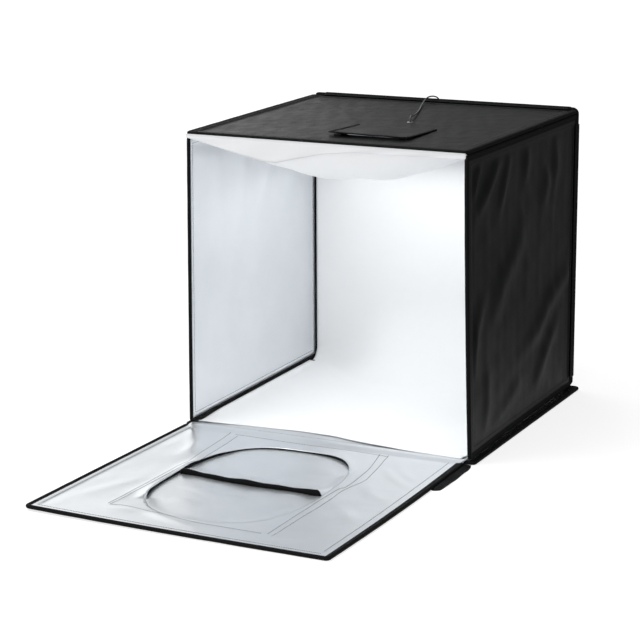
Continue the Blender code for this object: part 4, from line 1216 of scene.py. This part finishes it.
BACK_FOLDS = [
    ([(-0.25, 0.57), (-0.20, 0.48), (-0.12, 0.38)], 0.022, 0.0026),
    ([(-0.10, 0.575), (-0.09, 0.50), (-0.04, 0.40)], 0.018, 0.0020),
    ([(0.08, 0.575), (0.09, 0.50), (0.05, 0.42)], 0.016, 0.0018),
    ([(0.22, 0.575), (0.18, 0.46), (0.10, 0.36)], 0.022, 0.0024),
    ([(0.25, 0.25), (0.16, 0.20), (0.08, 0.10)], 0.026, 0.0024),
    ([(-0.25, 0.22), (-0.15, 0.15), (-0.10, 0.06)], 0.026, 0.0022),
    ([(-0.05, 0.35), (0.02, 0.25), (0.10, 0.18)], 0.030, 0.0020),
]
back_shell = panel_cloth("back_outer_cloth", BACK, -1, outer_relief(BACK_FOLDS, 53), 0.007, hem=OUTER_HEM_END)
finish_piece(back_shell, "back", "black_cloth", "back_shell")
back_lining = panel_cloth(
    "back_silver_lining", BACK, 1, lambda p, d: 0.0002 * ease(d, 0.018, 0.03) * crumple(p, 0.05, 55), 0.010
)
finish_piece(back_lining, "back", "silver_cloth", "back_lining")
make_lap(BACK, (0.0135, 0.008, 0.0135, 0.008))
make_lap(BACK, (0.011, 0.011, 0.011, 0.011), side=-1)
stitch_round(BACK, 1, INNER_SEAM, "grey")
stitch_round(BACK, -1, OUTER_SEAM, "black")

# ---------------------------------------------------------------- top

EYELET = (0.047, 0.005)
EYELET_RADIUS = 0.0038
flap_low, flap_high = part_box("top_flap_binding")
FLAP_REAR = TOP.start[1] - flap_high[1]
FLAP_FRONT = TOP.start[1] - flap_low[1]
FLAP_MIDDLE_A = (flap_low[0] + flap_high[0]) / 2
TOP_WINDOW_START = FLAP_REAR + 0.020
TOP_WINDOW_HALF, TOP_WINDOW_LONG, TOP_WINDOW_CORNER = 0.058, 0.100, 0.012
EYELET_B = TOP.start[1] - EYELET[1]


def rounded_box(middle_a, half_a, start_b, length, corner, steps=5):
    points = []
    for number, (side_a, side_b) in enumerate(((1, 0), (1, 1), (-1, 1), (-1, 0))):
        centre = (middle_a + side_a * (half_a - corner), start_b + (length - corner if side_b else corner))
        for i in range(steps + 1):
            angle = math.pi / 2 * (number - 1 + i / steps)
            points.append((centre[0] + corner * math.cos(angle), centre[1] + corner * math.sin(angle)))
    return np.array(points)


def top_openings(points):
    """How far outside the top's window and the eyelet's hole each point lies."""
    a = np.abs(points[:, 0] - FLAP_MIDDLE_A) - TOP_WINDOW_HALF + TOP_WINDOW_CORNER
    b = np.abs(points[:, 1] - TOP_WINDOW_START - TOP_WINDOW_LONG / 2) - TOP_WINDOW_LONG / 2 + TOP_WINDOW_CORNER
    box = np.hypot(np.maximum(a, 0), np.maximum(b, 0)) + np.minimum(np.maximum(a, b), 0) - TOP_WINDOW_CORNER
    hole = np.hypot(points[:, 0] - EYELET[0], points[:, 1] - EYELET_B) - EYELET_RADIUS
    return np.minimum(box, hole)


TOP_FOLDS = [
    ([(-0.277, 0.044), (-0.200, 0.130), (-0.110, 0.240), (-0.060, 0.330)], 0.0080, 0.0016),
    ([(-0.270, 0.142), (-0.190, 0.200), (-0.120, 0.270)], 0.0070, 0.0012),
    ([(-0.256, 0.304), (-0.190, 0.330), (-0.094, 0.321)], 0.0070, 0.0012),
    ([(-0.234, 0.473), (-0.170, 0.440), (-0.093, 0.430)], 0.0080, 0.0012),
    ([(-0.255, 0.372), (-0.180, 0.380), (-0.120, 0.360)], 0.0060, 0.0010),
    ([(-0.216, 0.149), (-0.120, 0.150), (-0.037, 0.129)], 0.0090, 0.0012),
    ([(-0.180, 0.075), (-0.080, 0.100), (0.010, 0.090)], 0.0080, 0.0010),
    ([(0.099, 0.157), (0.160, 0.187), (0.237, 0.208)], 0.0080, 0.0014),
    ([(0.142, 0.050), (0.200, 0.080), (0.260, 0.113)], 0.0080, 0.0012),
    ([(0.160, 0.187), (0.214, 0.300), (0.255, 0.380)], 0.0080, 0.0016),
    ([(0.180, 0.496), (0.190, 0.400), (0.190, 0.338)], 0.0080, 0.0012),
    ([(0.203, 0.461), (0.235, 0.380), (0.250, 0.300)], 0.0070, 0.0012),
    ([(-0.103, 0.277), (-0.049, 0.337), (-0.026, 0.488)], 0.0070, 0.0012),
    ([(-0.20, 0.53), (-0.10, 0.545), (0.02, 0.535)], 0.0080, 0.0010),
    ([(0.10, 0.545), (0.17, 0.54), (0.24, 0.55)], 0.0070, 0.0010),
]


def top_relief(points, depth):
    open_cloth = ease(depth, 0.019, 0.036)
    calm = ease(top_openings(points), 0.006, 0.040)
    height = 0.0003 + 0.0005 * open_cloth * (0.5 + 0.5 * ripple(points, 0.14, 61))
    height += 0.00020 * open_cloth * ripple(points, 0.030, 63)
    height += 0.2 * open_cloth * fold_relief(points, TOP_FOLDS)
    return np.clip(height, 0, 0.0030) * np.maximum(calm, 0.05)


eyelet_ring = np.array(
    [
        (EYELET[0] + EYELET_RADIUS * math.cos(turn), EYELET_B + EYELET_RADIUS * math.sin(turn))
        for turn in (math.tau * i / 20 for i in range(20))
    ]
)
window_ring = rounded_box(FLAP_MIDDLE_A, TOP_WINDOW_HALF, TOP_WINDOW_START, TOP_WINDOW_LONG, TOP_WINDOW_CORNER)
top_holes = [window_ring[::-1], eyelet_ring[::-1]]
top_shell = panel_cloth(
    "top_outer_cloth", TOP, -1, top_relief, 0.0055, top_holes, top_openings, hem=OUTER_HEM_END
)
finish_piece(top_shell, "top", "black_cloth", "top_shell")
top_lining = panel_cloth(
    "top_silver_lining", TOP, 1, lambda p, d: 0.0001 * ease(d, 0.018, 0.03) * crumple(p, 0.06, 67), 0.010, top_holes,
    top_openings,
)
finish_piece(top_lining, "top", "silver_cloth", "top_lining")
make_lap(TOP, (0.008, 0.008, 0.008, 0.008))
make_lap(TOP, (0.011, 0.009, 0.019, 0.008), side=-1)
stitch_round(TOP, 1, INNER_SEAM, "grey")
stitch_round(TOP, -1, OUTER_SEAM, "black")


def make_top_flap():
    """The flap over the top's window: its front stands off the top a little, with a bound edge."""
    half = (flap_high[0] - flap_low[0]) / 2
    length = FLAP_FRONT - FLAP_REAR
    outline = rounded_box(0.0, half, 0.0, length, 0.015, 6)
    square = [p for p in outline if p[1] > 0.02]
    square = np.array([(-half, 0.0), (half, 0.0)] + square)
    loop = [square[0]]
    for i in range(len(square)):
        start, after = square[i], square[(i + 1) % len(square)]
        count = max(1, round(np.linalg.norm(after - start) / 0.005))
        loop += [start + (after - start) * k / count for k in range(1, count + 1)]
    loop = np.array(loop[:-1])

    def inside(points, margin=0.0025):
        a = np.abs(points[:, 0]) - half + 0.015
        b = points[:, 1] - length + 0.015
        corner = np.hypot(np.maximum(a, 0), np.maximum(b, 0)) + np.minimum(np.maximum(a, b), 0) - 0.015
        return (corner < -margin) & (points[:, 1] > margin) & (np.abs(points[:, 0]) < half - margin)

    flat, faces = flat_mesh(loop, 0.005, inside)

    def surface(points):
        share = np.clip(points[:, 1] / length, 0, 1)
        level = 0.0028 + 0.0040 * share**1.6
        level = level + 0.0012 * share * np.cos(points[:, 0] / half * 2.2 + 0.6)
        level = level + 0.0006 * ripple(points, 0.06, 71) * share
        return level + 0.0012 * share * ease(np.abs(points[:, 0]), half * 0.5, half)

    level = surface(flat)
    world = np.column_stack([flat[:, 0] + FLAP_MIDDLE_A, flat[:, 1] + FLAP_REAR, -level])
    cloth = piece("top_flap_cloth", TOP.place(world), [f[::-1] for f in faces], [BLACK_SHELL], uv=flat)
    thicken(cloth, 0.0006)
    finish_piece(cloth, "top_flap", "black_cloth", "top_flap")
    order = [i for i in range(len(loop)) if loop[i][1] > 1e-6]
    path = [np.array((half, 0.0))] + [loop[i] for i in order] + [np.array((-half, 0.0))]
    path = np.array(path)
    way = np.zeros_like(path)
    way[1:-1] = path[2:] - path[:-2]
    way[0], way[-1] = path[1] - path[0], path[-1] - path[-2]
    way /= np.linalg.norm(way, axis=1)[:, None]
    out = np.stack([way[:, 1], -way[:, 0]], 1)
    level = surface(path)
    section = [
        (-0.0065, 0.0007), (-0.0008, 0.0009), (0.0004, 0.0003), (0.0004, -0.0009), (-0.0008, -0.0016),
        (-0.0065, -0.0013),
    ]
    n = len(section)
    ring, faces, corner_uv = [], [], []
    for i in range(len(path)):
        for reach, up in section:
            flat_point = path[i] + out[i] * reach
            ring.append((flat_point[0] + FLAP_MIDDLE_A, flat_point[1] + FLAP_REAR, -(level[i] + up)))
    for i in range(len(path) - 1):
        for k in range(n):
            m = (k + 1) % n
            faces.append([i * n + k, i * n + m, (i + 1) * n + m, (i + 1) * n + k])
            corner_uv += [(u, v) for v, u in uv_square(k, i, 0.002, 0.005)]
    faces.append(list(range(n))[::-1])
    faces.append([(len(path) - 1) * n + k for k in range(n)])
    corner_uv += [(0, 0)] * (2 * n)
    bound = piece("top_flap_bound_edge", TOP.place(ring), faces, [BLACK_BINDING], corner_uv=corner_uv, smooth=False)
    finish_piece(bound, "top_flap", "black_binding", "top_flap_binding")


make_top_flap()

# ---------------------------------------------------------------- diffuser

rim_low, rim_high = part_box("diffuser")
SAG, FOLD, FOLD_COUNT = 0.093, 0.005, 4.5
SLANT_SHARE, SKEW_SHARE, FORWARD_SHARE = 0.35, -0.11, 0.24
ACROSS_POWER, ALONG_POWER = 2.4, 3.2


def diffuser_drop(across, along):
    """How far the diffuser hangs at a place given as -1 to 1 across and along the top."""
    skewed = across - SKEW_SHARE * (1 - across**2)
    held = (1 - across**2) * (1 - along**2)
    forward_along = along - FORWARD_SHARE * (1 - along**2)
    bowl = 1 - np.abs(skewed) ** ACROSS_POWER
    bowl = bowl * (1 - np.abs(forward_along) ** ALONG_POWER)
    wave = np.cos(math.pi * FOLD_COUNT * (across + SLANT_SHARE * along))
    return SAG * bowl + FOLD * held * wave


def make_diffuser():
    columns, rows = 100, 84
    across, along = np.meshgrid(np.linspace(-1, 1, columns), np.linspace(-1, 1, rows))
    across, along = across.ravel(), along.ravel()
    middle, half = (rim_low + rim_high) / 2, (rim_high - rim_low) / 2
    x = middle[0] + half[0] * across
    y = middle[1] - half[1] * along
    held = np.clip((1 - across**2) * (1 - along**2), 0, 1)
    fine = ripple(np.stack([x, y], 1), 0.05, 81) * 0.0006 + crumple(np.stack([x, y], 1), 0.06, 83) * 0.0008
    z = rim_high[2] - CLEARANCE - diffuser_drop(across, along) - held**0.5 * np.clip(fine, -0.001, 0.001)
    obj = piece(
        "diffuser_cloth", np.stack([x, y, z], 1), grid_faces(rows, columns), [WHITE_DIFFUSER], uv=np.stack([x, y], 1)
    )
    thicken(obj, 0.0004)
    return finish_piece(obj, "top", "white_cloth", "diffuser")


diffuser = make_diffuser()


FRONT_HEM_FOOT = np.array(
    [(-0.300, 0.5885), (-0.2697, 0.5815), (-0.2542, 0.5782), (-0.2372, 0.5744), (-0.2167, 0.5699), (-0.1952, 0.5651),
     (-0.1773, 0.5608), (-0.1569, 0.5569), (-0.1253, 0.5505), (-0.100, 0.5500), (-0.060, 0.5600), (0.000, 0.5740),
     (0.060, 0.5810), (0.2975, 0.5830)]
)


def make_front_hem():
    """The diffuser's front hem: from the underside of the top's front edge down to the bowl."""
    centre_y, centre_z, radius = TOP.start[1] - TOP.length + TOP.edge, TOP.start[2], TOP.edge + 0.00012
    xs = np.linspace(-0.2965, 0.2925, 150)
    points, uv = [], []
    rows = 9
    for x in xs:
        foot = float(np.interp(x, FRONT_HEM_FOOT[:, 0], FRONT_HEM_FOOT[:, 1]))
        profile = [
            (centre_y - radius * math.cos(math.radians(t)), centre_z - radius * math.sin(math.radians(t)))
            for t in (14, 30, 46)
        ]
        head = centre_z - 0.0050
        for k in range(rows):
            t = k / (rows - 1)
            wave = 0.0006 * math.sin(x * 55 + 3 * t) * t
            profile.append((centre_y - 0.0030 + 0.0003 * t + max(wave, -0.0012), head + (foot - head) * t))
        for y, z in profile:
            points.append((x, y, z))
            uv.append((x, z))
    obj = piece("diffuser_front_hem", points, grid_faces(len(xs), len(profile)), [WHITE_HEM], uv=uv)
    thicken(obj, 0.0002)
    return finish_piece(obj, "top", "white_cloth")


front_hem = make_front_hem()

# ---------------------------------------------------------------- backdrop

drop_low, drop_high = part_box("backdrop")
SWEEP, CORNER_SWEEP, STAND_OFF = 0.160, 0.030, 0.006
BACKDROP_CROWDING = 0.06
BACKDROP_FRONT = np.array(
    [(-0.290, -0.279), (-0.200, -0.262), (-0.075, -0.252), (0.003, -0.256), (0.090, -0.278), (0.161, -0.290),
     (0.288, -0.2975)]
)


def backdrop_column(share):
    """The sheet's line from its head down the back, round into the floor and forward, at 0 left to 1 right."""
    x = -0.2905 + 0.5785 * share
    near_side = min(share, 1 - share) * 0.58
    sweep = CORNER_SWEEP + (SWEEP - CORNER_SWEEP) * float(ease(np.array(near_side), 0.0, 0.19))
    back_y, floor_z = drop_high[1] - CLEARANCE, drop_low[2] + CLEARANCE
    front = float(np.interp(x, BACKDROP_FRONT[:, 0], BACKDROP_FRONT[:, 1]))
    head, foot = drop_high[2], floor_z + sweep
    path = []
    for k in range(40):
        z = head + (foot - head) * k / 40
        path.append((back_y - STAND_OFF * float(ease(np.array(head - z), 0.02, 0.14)), z))
    start = back_y - STAND_OFF
    for k in range(25):
        angle = math.pi / 2 * k / 24
        path.append((start - sweep * (1 - math.cos(angle)), floor_z + sweep * (1 - math.sin(angle))))
    for k in range(1, 46):
        y = start - sweep + (front - start + sweep) * k / 45
        curl = 0.0036 * float(ease(np.array(-y), 0.262, 0.290))
        curl += 0.0011 * float(ease(np.array(-y), 0.20, 0.255)) * (0.5 + 0.5 * math.sin(x * 17 + 1.2))
        curl += 0.0038 * math.exp(-(((x + 0.2905) / 0.014) ** 2)) * float(ease(np.array(y), -0.265, -0.190))
        path.append((y, floor_z + curl))
    spread = REAR_SPREAD * (1 - share)
    return [(x - spread * min(max((0.3 + y) / 0.6, 0), 1), y, z) for y, z in path]


def make_backdrop():
    """The white sheet. Its columns of points crowd towards the sides, where the sweep tightens."""
    columns = 81
    points, uv = [], []
    for i in range(columns):
        share = i / (columns - 1)
        share -= BACKDROP_CROWDING * math.sin(math.tau * share)
        column = backdrop_column(share)
        run = 0.0
        for k, (x, y, z) in enumerate(column):
            if k:
                run += math.dist(column[k - 1], (x, y, z))
            points.append((x, y, z))
            uv.append((0.577 * share, run))
    obj = piece("white_backdrop", points, grid_faces(columns, len(column)), [WHITE_SHEET], uv=uv)
    thicken(obj, 0.0009, offset=1.0)
    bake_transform(obj)
    finish_piece(obj, None, "white_sheet", "backdrop")
    return obj


backdrop = make_backdrop()

# ---------------------------------------------------------------- hinge strips


def make_strip(name, line, low, high, material, slot_name, old, width_axis=0):
    """A cloth strip over a seam: a smooth line in the plane across the seam, carried along it."""
    path = smooth_route(line, 5)
    count = 90
    points, uv = [], []
    runs = [0.0]
    for k in range(1, len(path)):
        runs.append(runs[-1] + (path[k] - path[k - 1]).length)
    for i in range(count):
        along_seam = low + (high - low) * i / (count - 1)
        for k, point in enumerate(path):
            place = point.copy()
            place[width_axis] = along_seam
            points.append(tuple(place))
            uv.append((along_seam, runs[k]))
    obj = piece(name, points, grid_faces(count, len(path)), [material], uv=uv)
    thicken(obj, STRIP_THICKNESS, offset=0.0)
    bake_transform(obj)
    return finish_piece(obj, None, slot_name, old)


SEAM_Y = -0.30015
SEAM_RISE = [(0.0225, 0.0044), (0.0185, 0.0055), (0.0130, 0.0068), (0.0075, 0.0083)]
make_strip(
    "door_silver_hinge",
    [(0, SEAM_Y + out, z) for out, z in SEAM_RISE + [(0, 0.0088)] + [(-out, z) for out, z in SEAM_RISE[::-1]]],
    0.299, -0.297, SILVER_LINING,
    "silver_cloth", "door_hinge_strip",
)
make_strip(
    "back_cloth_hinge",
    [(0, 0.3004, 0.0012), (0, 0.3005, 0.0050), (0, 0.3007, 0.0083), (0, 0.3005, 0.0130), (0, 0.3004, 0.0220)],
    -0.286, 0.286, BLACK_BINDING, "black_binding",
    "back_hinge_strip",
)
make_strip(
    "top_cloth_hinge",
    [(0, 0.2830, 0.6006), (0, 0.2870, 0.6008), (0, 0.2915, 0.6022), (0, 0.2960, 0.6046), (0, 0.2990, 0.6040)],
    0.282, -0.282, BLACK_BINDING, "black_binding",
    "top_hinge_strip",
)
for side, name, sign in ((LEFT, "left_side", -1), (RIGHT, "right_side", 1)):
    if sign > 0:
        x = 0.3
        line = [(0.3006, 0.2765, 0), (0.3007, 0.2840, 0), (0.3009, 0.2919, 0), (0.3007, 0.2960, 0), (0.3004, 0.2990, 0)]
    else:
        x = -0.3 - REAR_SPREAD
        line = [
            (-0.3126, 0.2765, 0), (-0.3127, 0.2840, 0), (-0.3128, 0.2912, 0), (-0.3110, 0.2965, 0),
            (-0.3060, 0.2998, 0), (-0.3000, 0.3006, 0), (-0.2925, 0.3005, 0),
        ]
    low, high = (0.030, 0.570) if sign > 0 else (0.5895, 0.0095)
    make_strip(
        name + "_cloth_hinge", line, low, high, BLACK_BINDING,
        "black_binding", name + "_hinge_strip", width_axis=2,
    )

# ---------------------------------------------------------------- lead


def tube_mesh(name, path, diameter, material, sides=12):
    """A round tube with a UV map that follows it."""
    points, faces, corner_uv = [], [], []
    girth = math.pi * diameter / sides
    run = [0.0]
    for i in range(1, len(path)):
        run.append(run[-1] + (path[i] - path[i - 1]).length)
    side = (path[1] - path[0]).normalized().orthogonal().normalized()
    for i, point in enumerate(path):
        ahead = path[min(i + 1, len(path) - 1)] - path[max(i - 1, 0)]
        ahead.normalize()
        side = (side - ahead * side.dot(ahead)).normalized()
        other = ahead.cross(side)
        for k in range(sides):
            angle = math.tau * k / sides
            points.append(point + (side * math.cos(angle) + other * math.sin(angle)) * diameter / 2)
    for i in range(len(path) - 1):
        for k in range(sides):
            m = (k + 1) % sides
            faces.append([i * sides + k, i * sides + m, (i + 1) * sides + m, (i + 1) * sides + k])
            low, high = k * girth, (k + 1) * girth
            corner_uv += [(run[i], low), (run[i], high), (run[i + 1], high), (run[i + 1], low)]
    faces.append(list(range(sides))[::-1])
    faces.append([(len(path) - 1) * sides + k for k in range(sides)])
    corner_uv += [(0, 0)] * (2 * sides)
    return piece(name, points, faces, [material], corner_uv=corner_uv)


lead = smooth_route(LEAD_ROUTE, LEAD_SUBSTEPS)
crest = max(range(len(lead)), key=lambda i: lead[i].z)
onward = (lead[crest + 1] - lead[crest]).normalized()
lead_top = lead[: crest + 1]
lead_fall = [lead[crest] + onward * CLEARANCE] + lead[crest + 1 :]

top_lead = tube_mesh("lead_over_top", lead_top, LEAD_DIAMETER, BLACK_LEAD)
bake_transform(top_lead)
finish_piece(top_lead, None, "black_cord", "power_cord_top")
back_lead = tube_mesh("lead_down_back", lead_fall, LEAD_DIAMETER, BLACK_LEAD)
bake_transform(back_lead)
finish_piece(back_lead, None, "black_cord", "power_cord")

# ---------------------------------------------------------------- the CAD's own pieces that show

for name, material in {
    "base_board": BOARD,
    "cord_plug": BLACK_MOULDING,
    "cord_plug_barrel": NICKEL,
    "backdrop_tape": BLACK_TAPE,
    "top_window_left_tape": BLACK_TAPE,
    "top_window_right_tape": BLACK_TAPE,
    "cord_eyelet": NICKEL,
    "light_left_channel": LIGHT_METAL,
    "light_right_channel": LIGHT_METAL,
    "light_left_board": LIGHT_BOARD,
    "light_right_board": LIGHT_BOARD,
    "light_link_wire": BLACK_LEAD,
}.items():
    mesh = NODES[name].data
    mesh.materials.clear()
    mesh.materials.append(material)

# ---------------------------------------------------------------- light chips


def make_chip_tree():
    """Light chips at an even pitch along each line, facing down: a white body with a yellow window."""
    tree, start, end = new_tree(
        "row_of_light_chips",
        [
            ("Chip pitch", "NodeSocketFloat", 0.0125),
            ("Chip width", "NodeSocketFloat", 0.0034),
            ("Chip height", "NodeSocketFloat", 0.0008),
            ("Body", "NodeSocketMaterial", None),
            ("Window", "NodeSocketMaterial", None),
        ],
    )
    link = tree.links.new
    line = node(tree, "GeometryNodeMeshToCurve")
    points = node(tree, "GeometryNodeResampleCurve", mode="LENGTH")
    body = node(tree, "GeometryNodeMeshCylinder", {"Vertices": 8, "Radius": 0.5, "Depth": 1.0})
    window = node(tree, "GeometryNodeMeshCylinder", {"Vertices": 12, "Radius": 0.34, "Depth": 1.3})
    body_finish = node(tree, "GeometryNodeSetMaterial")
    window_finish = node(tree, "GeometryNodeSetMaterial")
    both = node(tree, "GeometryNodeJoinGeometry")
    size = node(tree, "ShaderNodeCombineXYZ")
    place = node(tree, "GeometryNodeInstanceOnPoints")
    whole = node(tree, "GeometryNodeRealizeInstances")
    link(start.outputs["Geometry"], line.inputs[0])
    link(line.outputs[0], points.inputs["Curve"])
    link(start.outputs["Chip pitch"], points.inputs["Length"])
    for part, finish, name in ((body, body_finish, "Body"), (window, window_finish, "Window")):
        link(part.outputs["Mesh"], finish.inputs["Geometry"])
        link(start.outputs[name], finish.inputs["Material"])
        link(finish.outputs[0], both.inputs[0])
    for axis, socket in (("X", "Chip width"), ("Y", "Chip width"), ("Z", "Chip height")):
        link(start.outputs[socket], size.inputs[axis])
    link(points.outputs[0], place.inputs["Points"])
    link(both.outputs[0], place.inputs["Instance"])
    link(size.outputs[0], place.inputs["Scale"])
    link(place.outputs[0], whole.inputs[0])
    link(whole.outputs[0], end.inputs["Geometry"])
    return tree


chip_points, chip_edges = [], []
for side in ("left", "right"):
    low, high = part_box(f"light_{side}_board")
    x, z = (low[0] + high[0]) / 2, low[2] - CLEARANCE
    chip_edges.append((len(chip_points), len(chip_points) + 1))
    chip_points += [(x, low[1] + 0.008, z), (x, high[1] - 0.008, z)]
chips = grown("light_chips", chip_points, chip_edges, make_chip_tree(), {"Body": LIGHT_BOARD, "Window": LIGHT_CHIP})
finish_piece(chips, "top", "light_board")

sew()

# ---------------------------------------------------------------- stage and light


def span(tree, value, low, high, first, last):
    """first at low, last at high, smooth between."""
    made = node(
        tree, "ShaderNodeMapRange", {"From Min": low, "From Max": high, "To Min": first, "To Max": last},
        interpolation_type="SMOOTHSTEP",
    )
    tree.links.new(value, made.inputs["Value"])
    return made.outputs["Result"]


def blend_values(tree, share, first, last):
    mix = node(tree, "ShaderNodeMix", data_type="FLOAT")
    tree.links.new(share, mix.inputs["Factor"])
    for socket, value in (("A", first), ("B", last)):
        if isinstance(value, (int, float)):
            mix.inputs[socket].default_value = value
        else:
            tree.links.new(value, mix.inputs[socket])
    return mix.outputs["Result"]


def studio_floor():
    """Bright to the camera; in the tent's reflections it darkens away from the lamp, as a room's floor does."""
    material = bpy.data.materials.new("studio_white")
    material.use_nodes = True
    tree = material.node_tree
    shader = tree.nodes["Principled BSDF"]
    shader.inputs["Base Color"].default_value = (*[FLOOR_SHADE] * 3, 1.0)
    shader.inputs["Roughness"].default_value = 1.0
    shader.inputs["Specular IOR Level"].default_value = 0.0
    shader.inputs["Emission Color"].default_value = (1, 1, 1, 1)
    shader.inputs["Emission Strength"].default_value = FLOOR_GLOW
    parts = node(tree, "ShaderNodeSeparateXYZ")
    tree.links.new(node(tree, "ShaderNodeTexCoord").outputs["Object"], parts.inputs[0])
    away_x = math_node(tree, "MULTIPLY", parts.outputs["X"], 0.8)
    away_y = math_node(tree, "MULTIPLY", parts.outputs["Y"], 0.5)
    away = math_node(tree, "ADD", away_x, away_y)
    glow = node(tree, "ShaderNodeEmission")
    tree.links.new(span(tree, away, -0.5, 0.9, 0.95, 0.20), glow.inputs["Strength"])
    mix = node(tree, "ShaderNodeMixShader")
    tree.links.new(node(tree, "ShaderNodeLightPath").outputs["Is Camera Ray"], mix.inputs["Fac"])
    tree.links.new(glow.outputs[0], mix.inputs[1])
    tree.links.new(shader.outputs[0], mix.inputs[2])
    tree.links.new(mix.outputs[0], tree.nodes["Material Output"].inputs["Surface"])
    return material


FLOOR_SHADE, FLOOR_GLOW = 0.52, 0.725
floor_mesh = bpy.data.meshes.new("studio_floor")
REACH = 14.0
floor_corners = [(-REACH, -REACH, 0), (REACH, -REACH, 0), (REACH, REACH, 0), (-REACH, REACH, 0)]
floor_mesh.from_pydata(floor_corners, [], [[0, 1, 2, 3]])
floor_mesh.materials.append(studio_floor())
floor = bpy.data.objects.new("studio_floor", floor_mesh)
floor.location.z = -0.0004
scene.collection.objects.link(floor)


def studio_air():
    """White behind the tent for the camera. The air that lights it is bright in front and to the left."""
    world = bpy.data.worlds.new("studio_air")
    scene.world = world
    world.use_nodes = True
    tree = world.node_tree
    parts = node(tree, "ShaderNodeSeparateXYZ")
    tree.links.new(node(tree, "ShaderNodeTexCoord").outputs["Generated"], parts.inputs[0])
    left = span(tree, parts.outputs["X"], -0.53, -0.38, 1.32, 0.21)
    behind = math_node(tree, "MULTIPLY", left, span(tree, parts.outputs["X"], 0.0, 0.4, 1.0, 0.5))
    lit = blend_values(tree, span(tree, parts.outputs["Y"], 0.35, -0.2, 0.0, 1.0), behind, 0.89)
    seen = node(tree, "ShaderNodeLightPath").outputs["Is Camera Ray"]
    tree.links.new(blend_values(tree, seen, lit, 1.0), tree.nodes["Background"].inputs["Strength"])
    tree.nodes["Background"].inputs["Color"].default_value = (1.0, 1.0, 1.0, 1.0)


studio_air()


def soft_box(name, place, target, size, power):
    data = bpy.data.lights.new(name, "AREA")
    data.shape = "RECTANGLE"
    data.size, data.size_y = size
    data.energy = power
    light = bpy.data.objects.new(name, data)
    light.location = place
    way = Vector(target) - Vector(place)
    light.rotation_mode = "QUATERNION"
    light.rotation_quaternion = way.to_track_quat("-Z", "Y")
    light.visible_camera = False
    scene.collection.objects.link(light)
    return light


soft_box("key_box", (-0.85, -0.95, 2.8), (0, -0.1, 0.2), (1.1, 1.1), 23)
inner_light = soft_box("diffuser_light", (0, -0.02, 0.470), (0, -0.02, 0), (0.5, 0.5), 1.33)
inner_light.visible_glossy = False
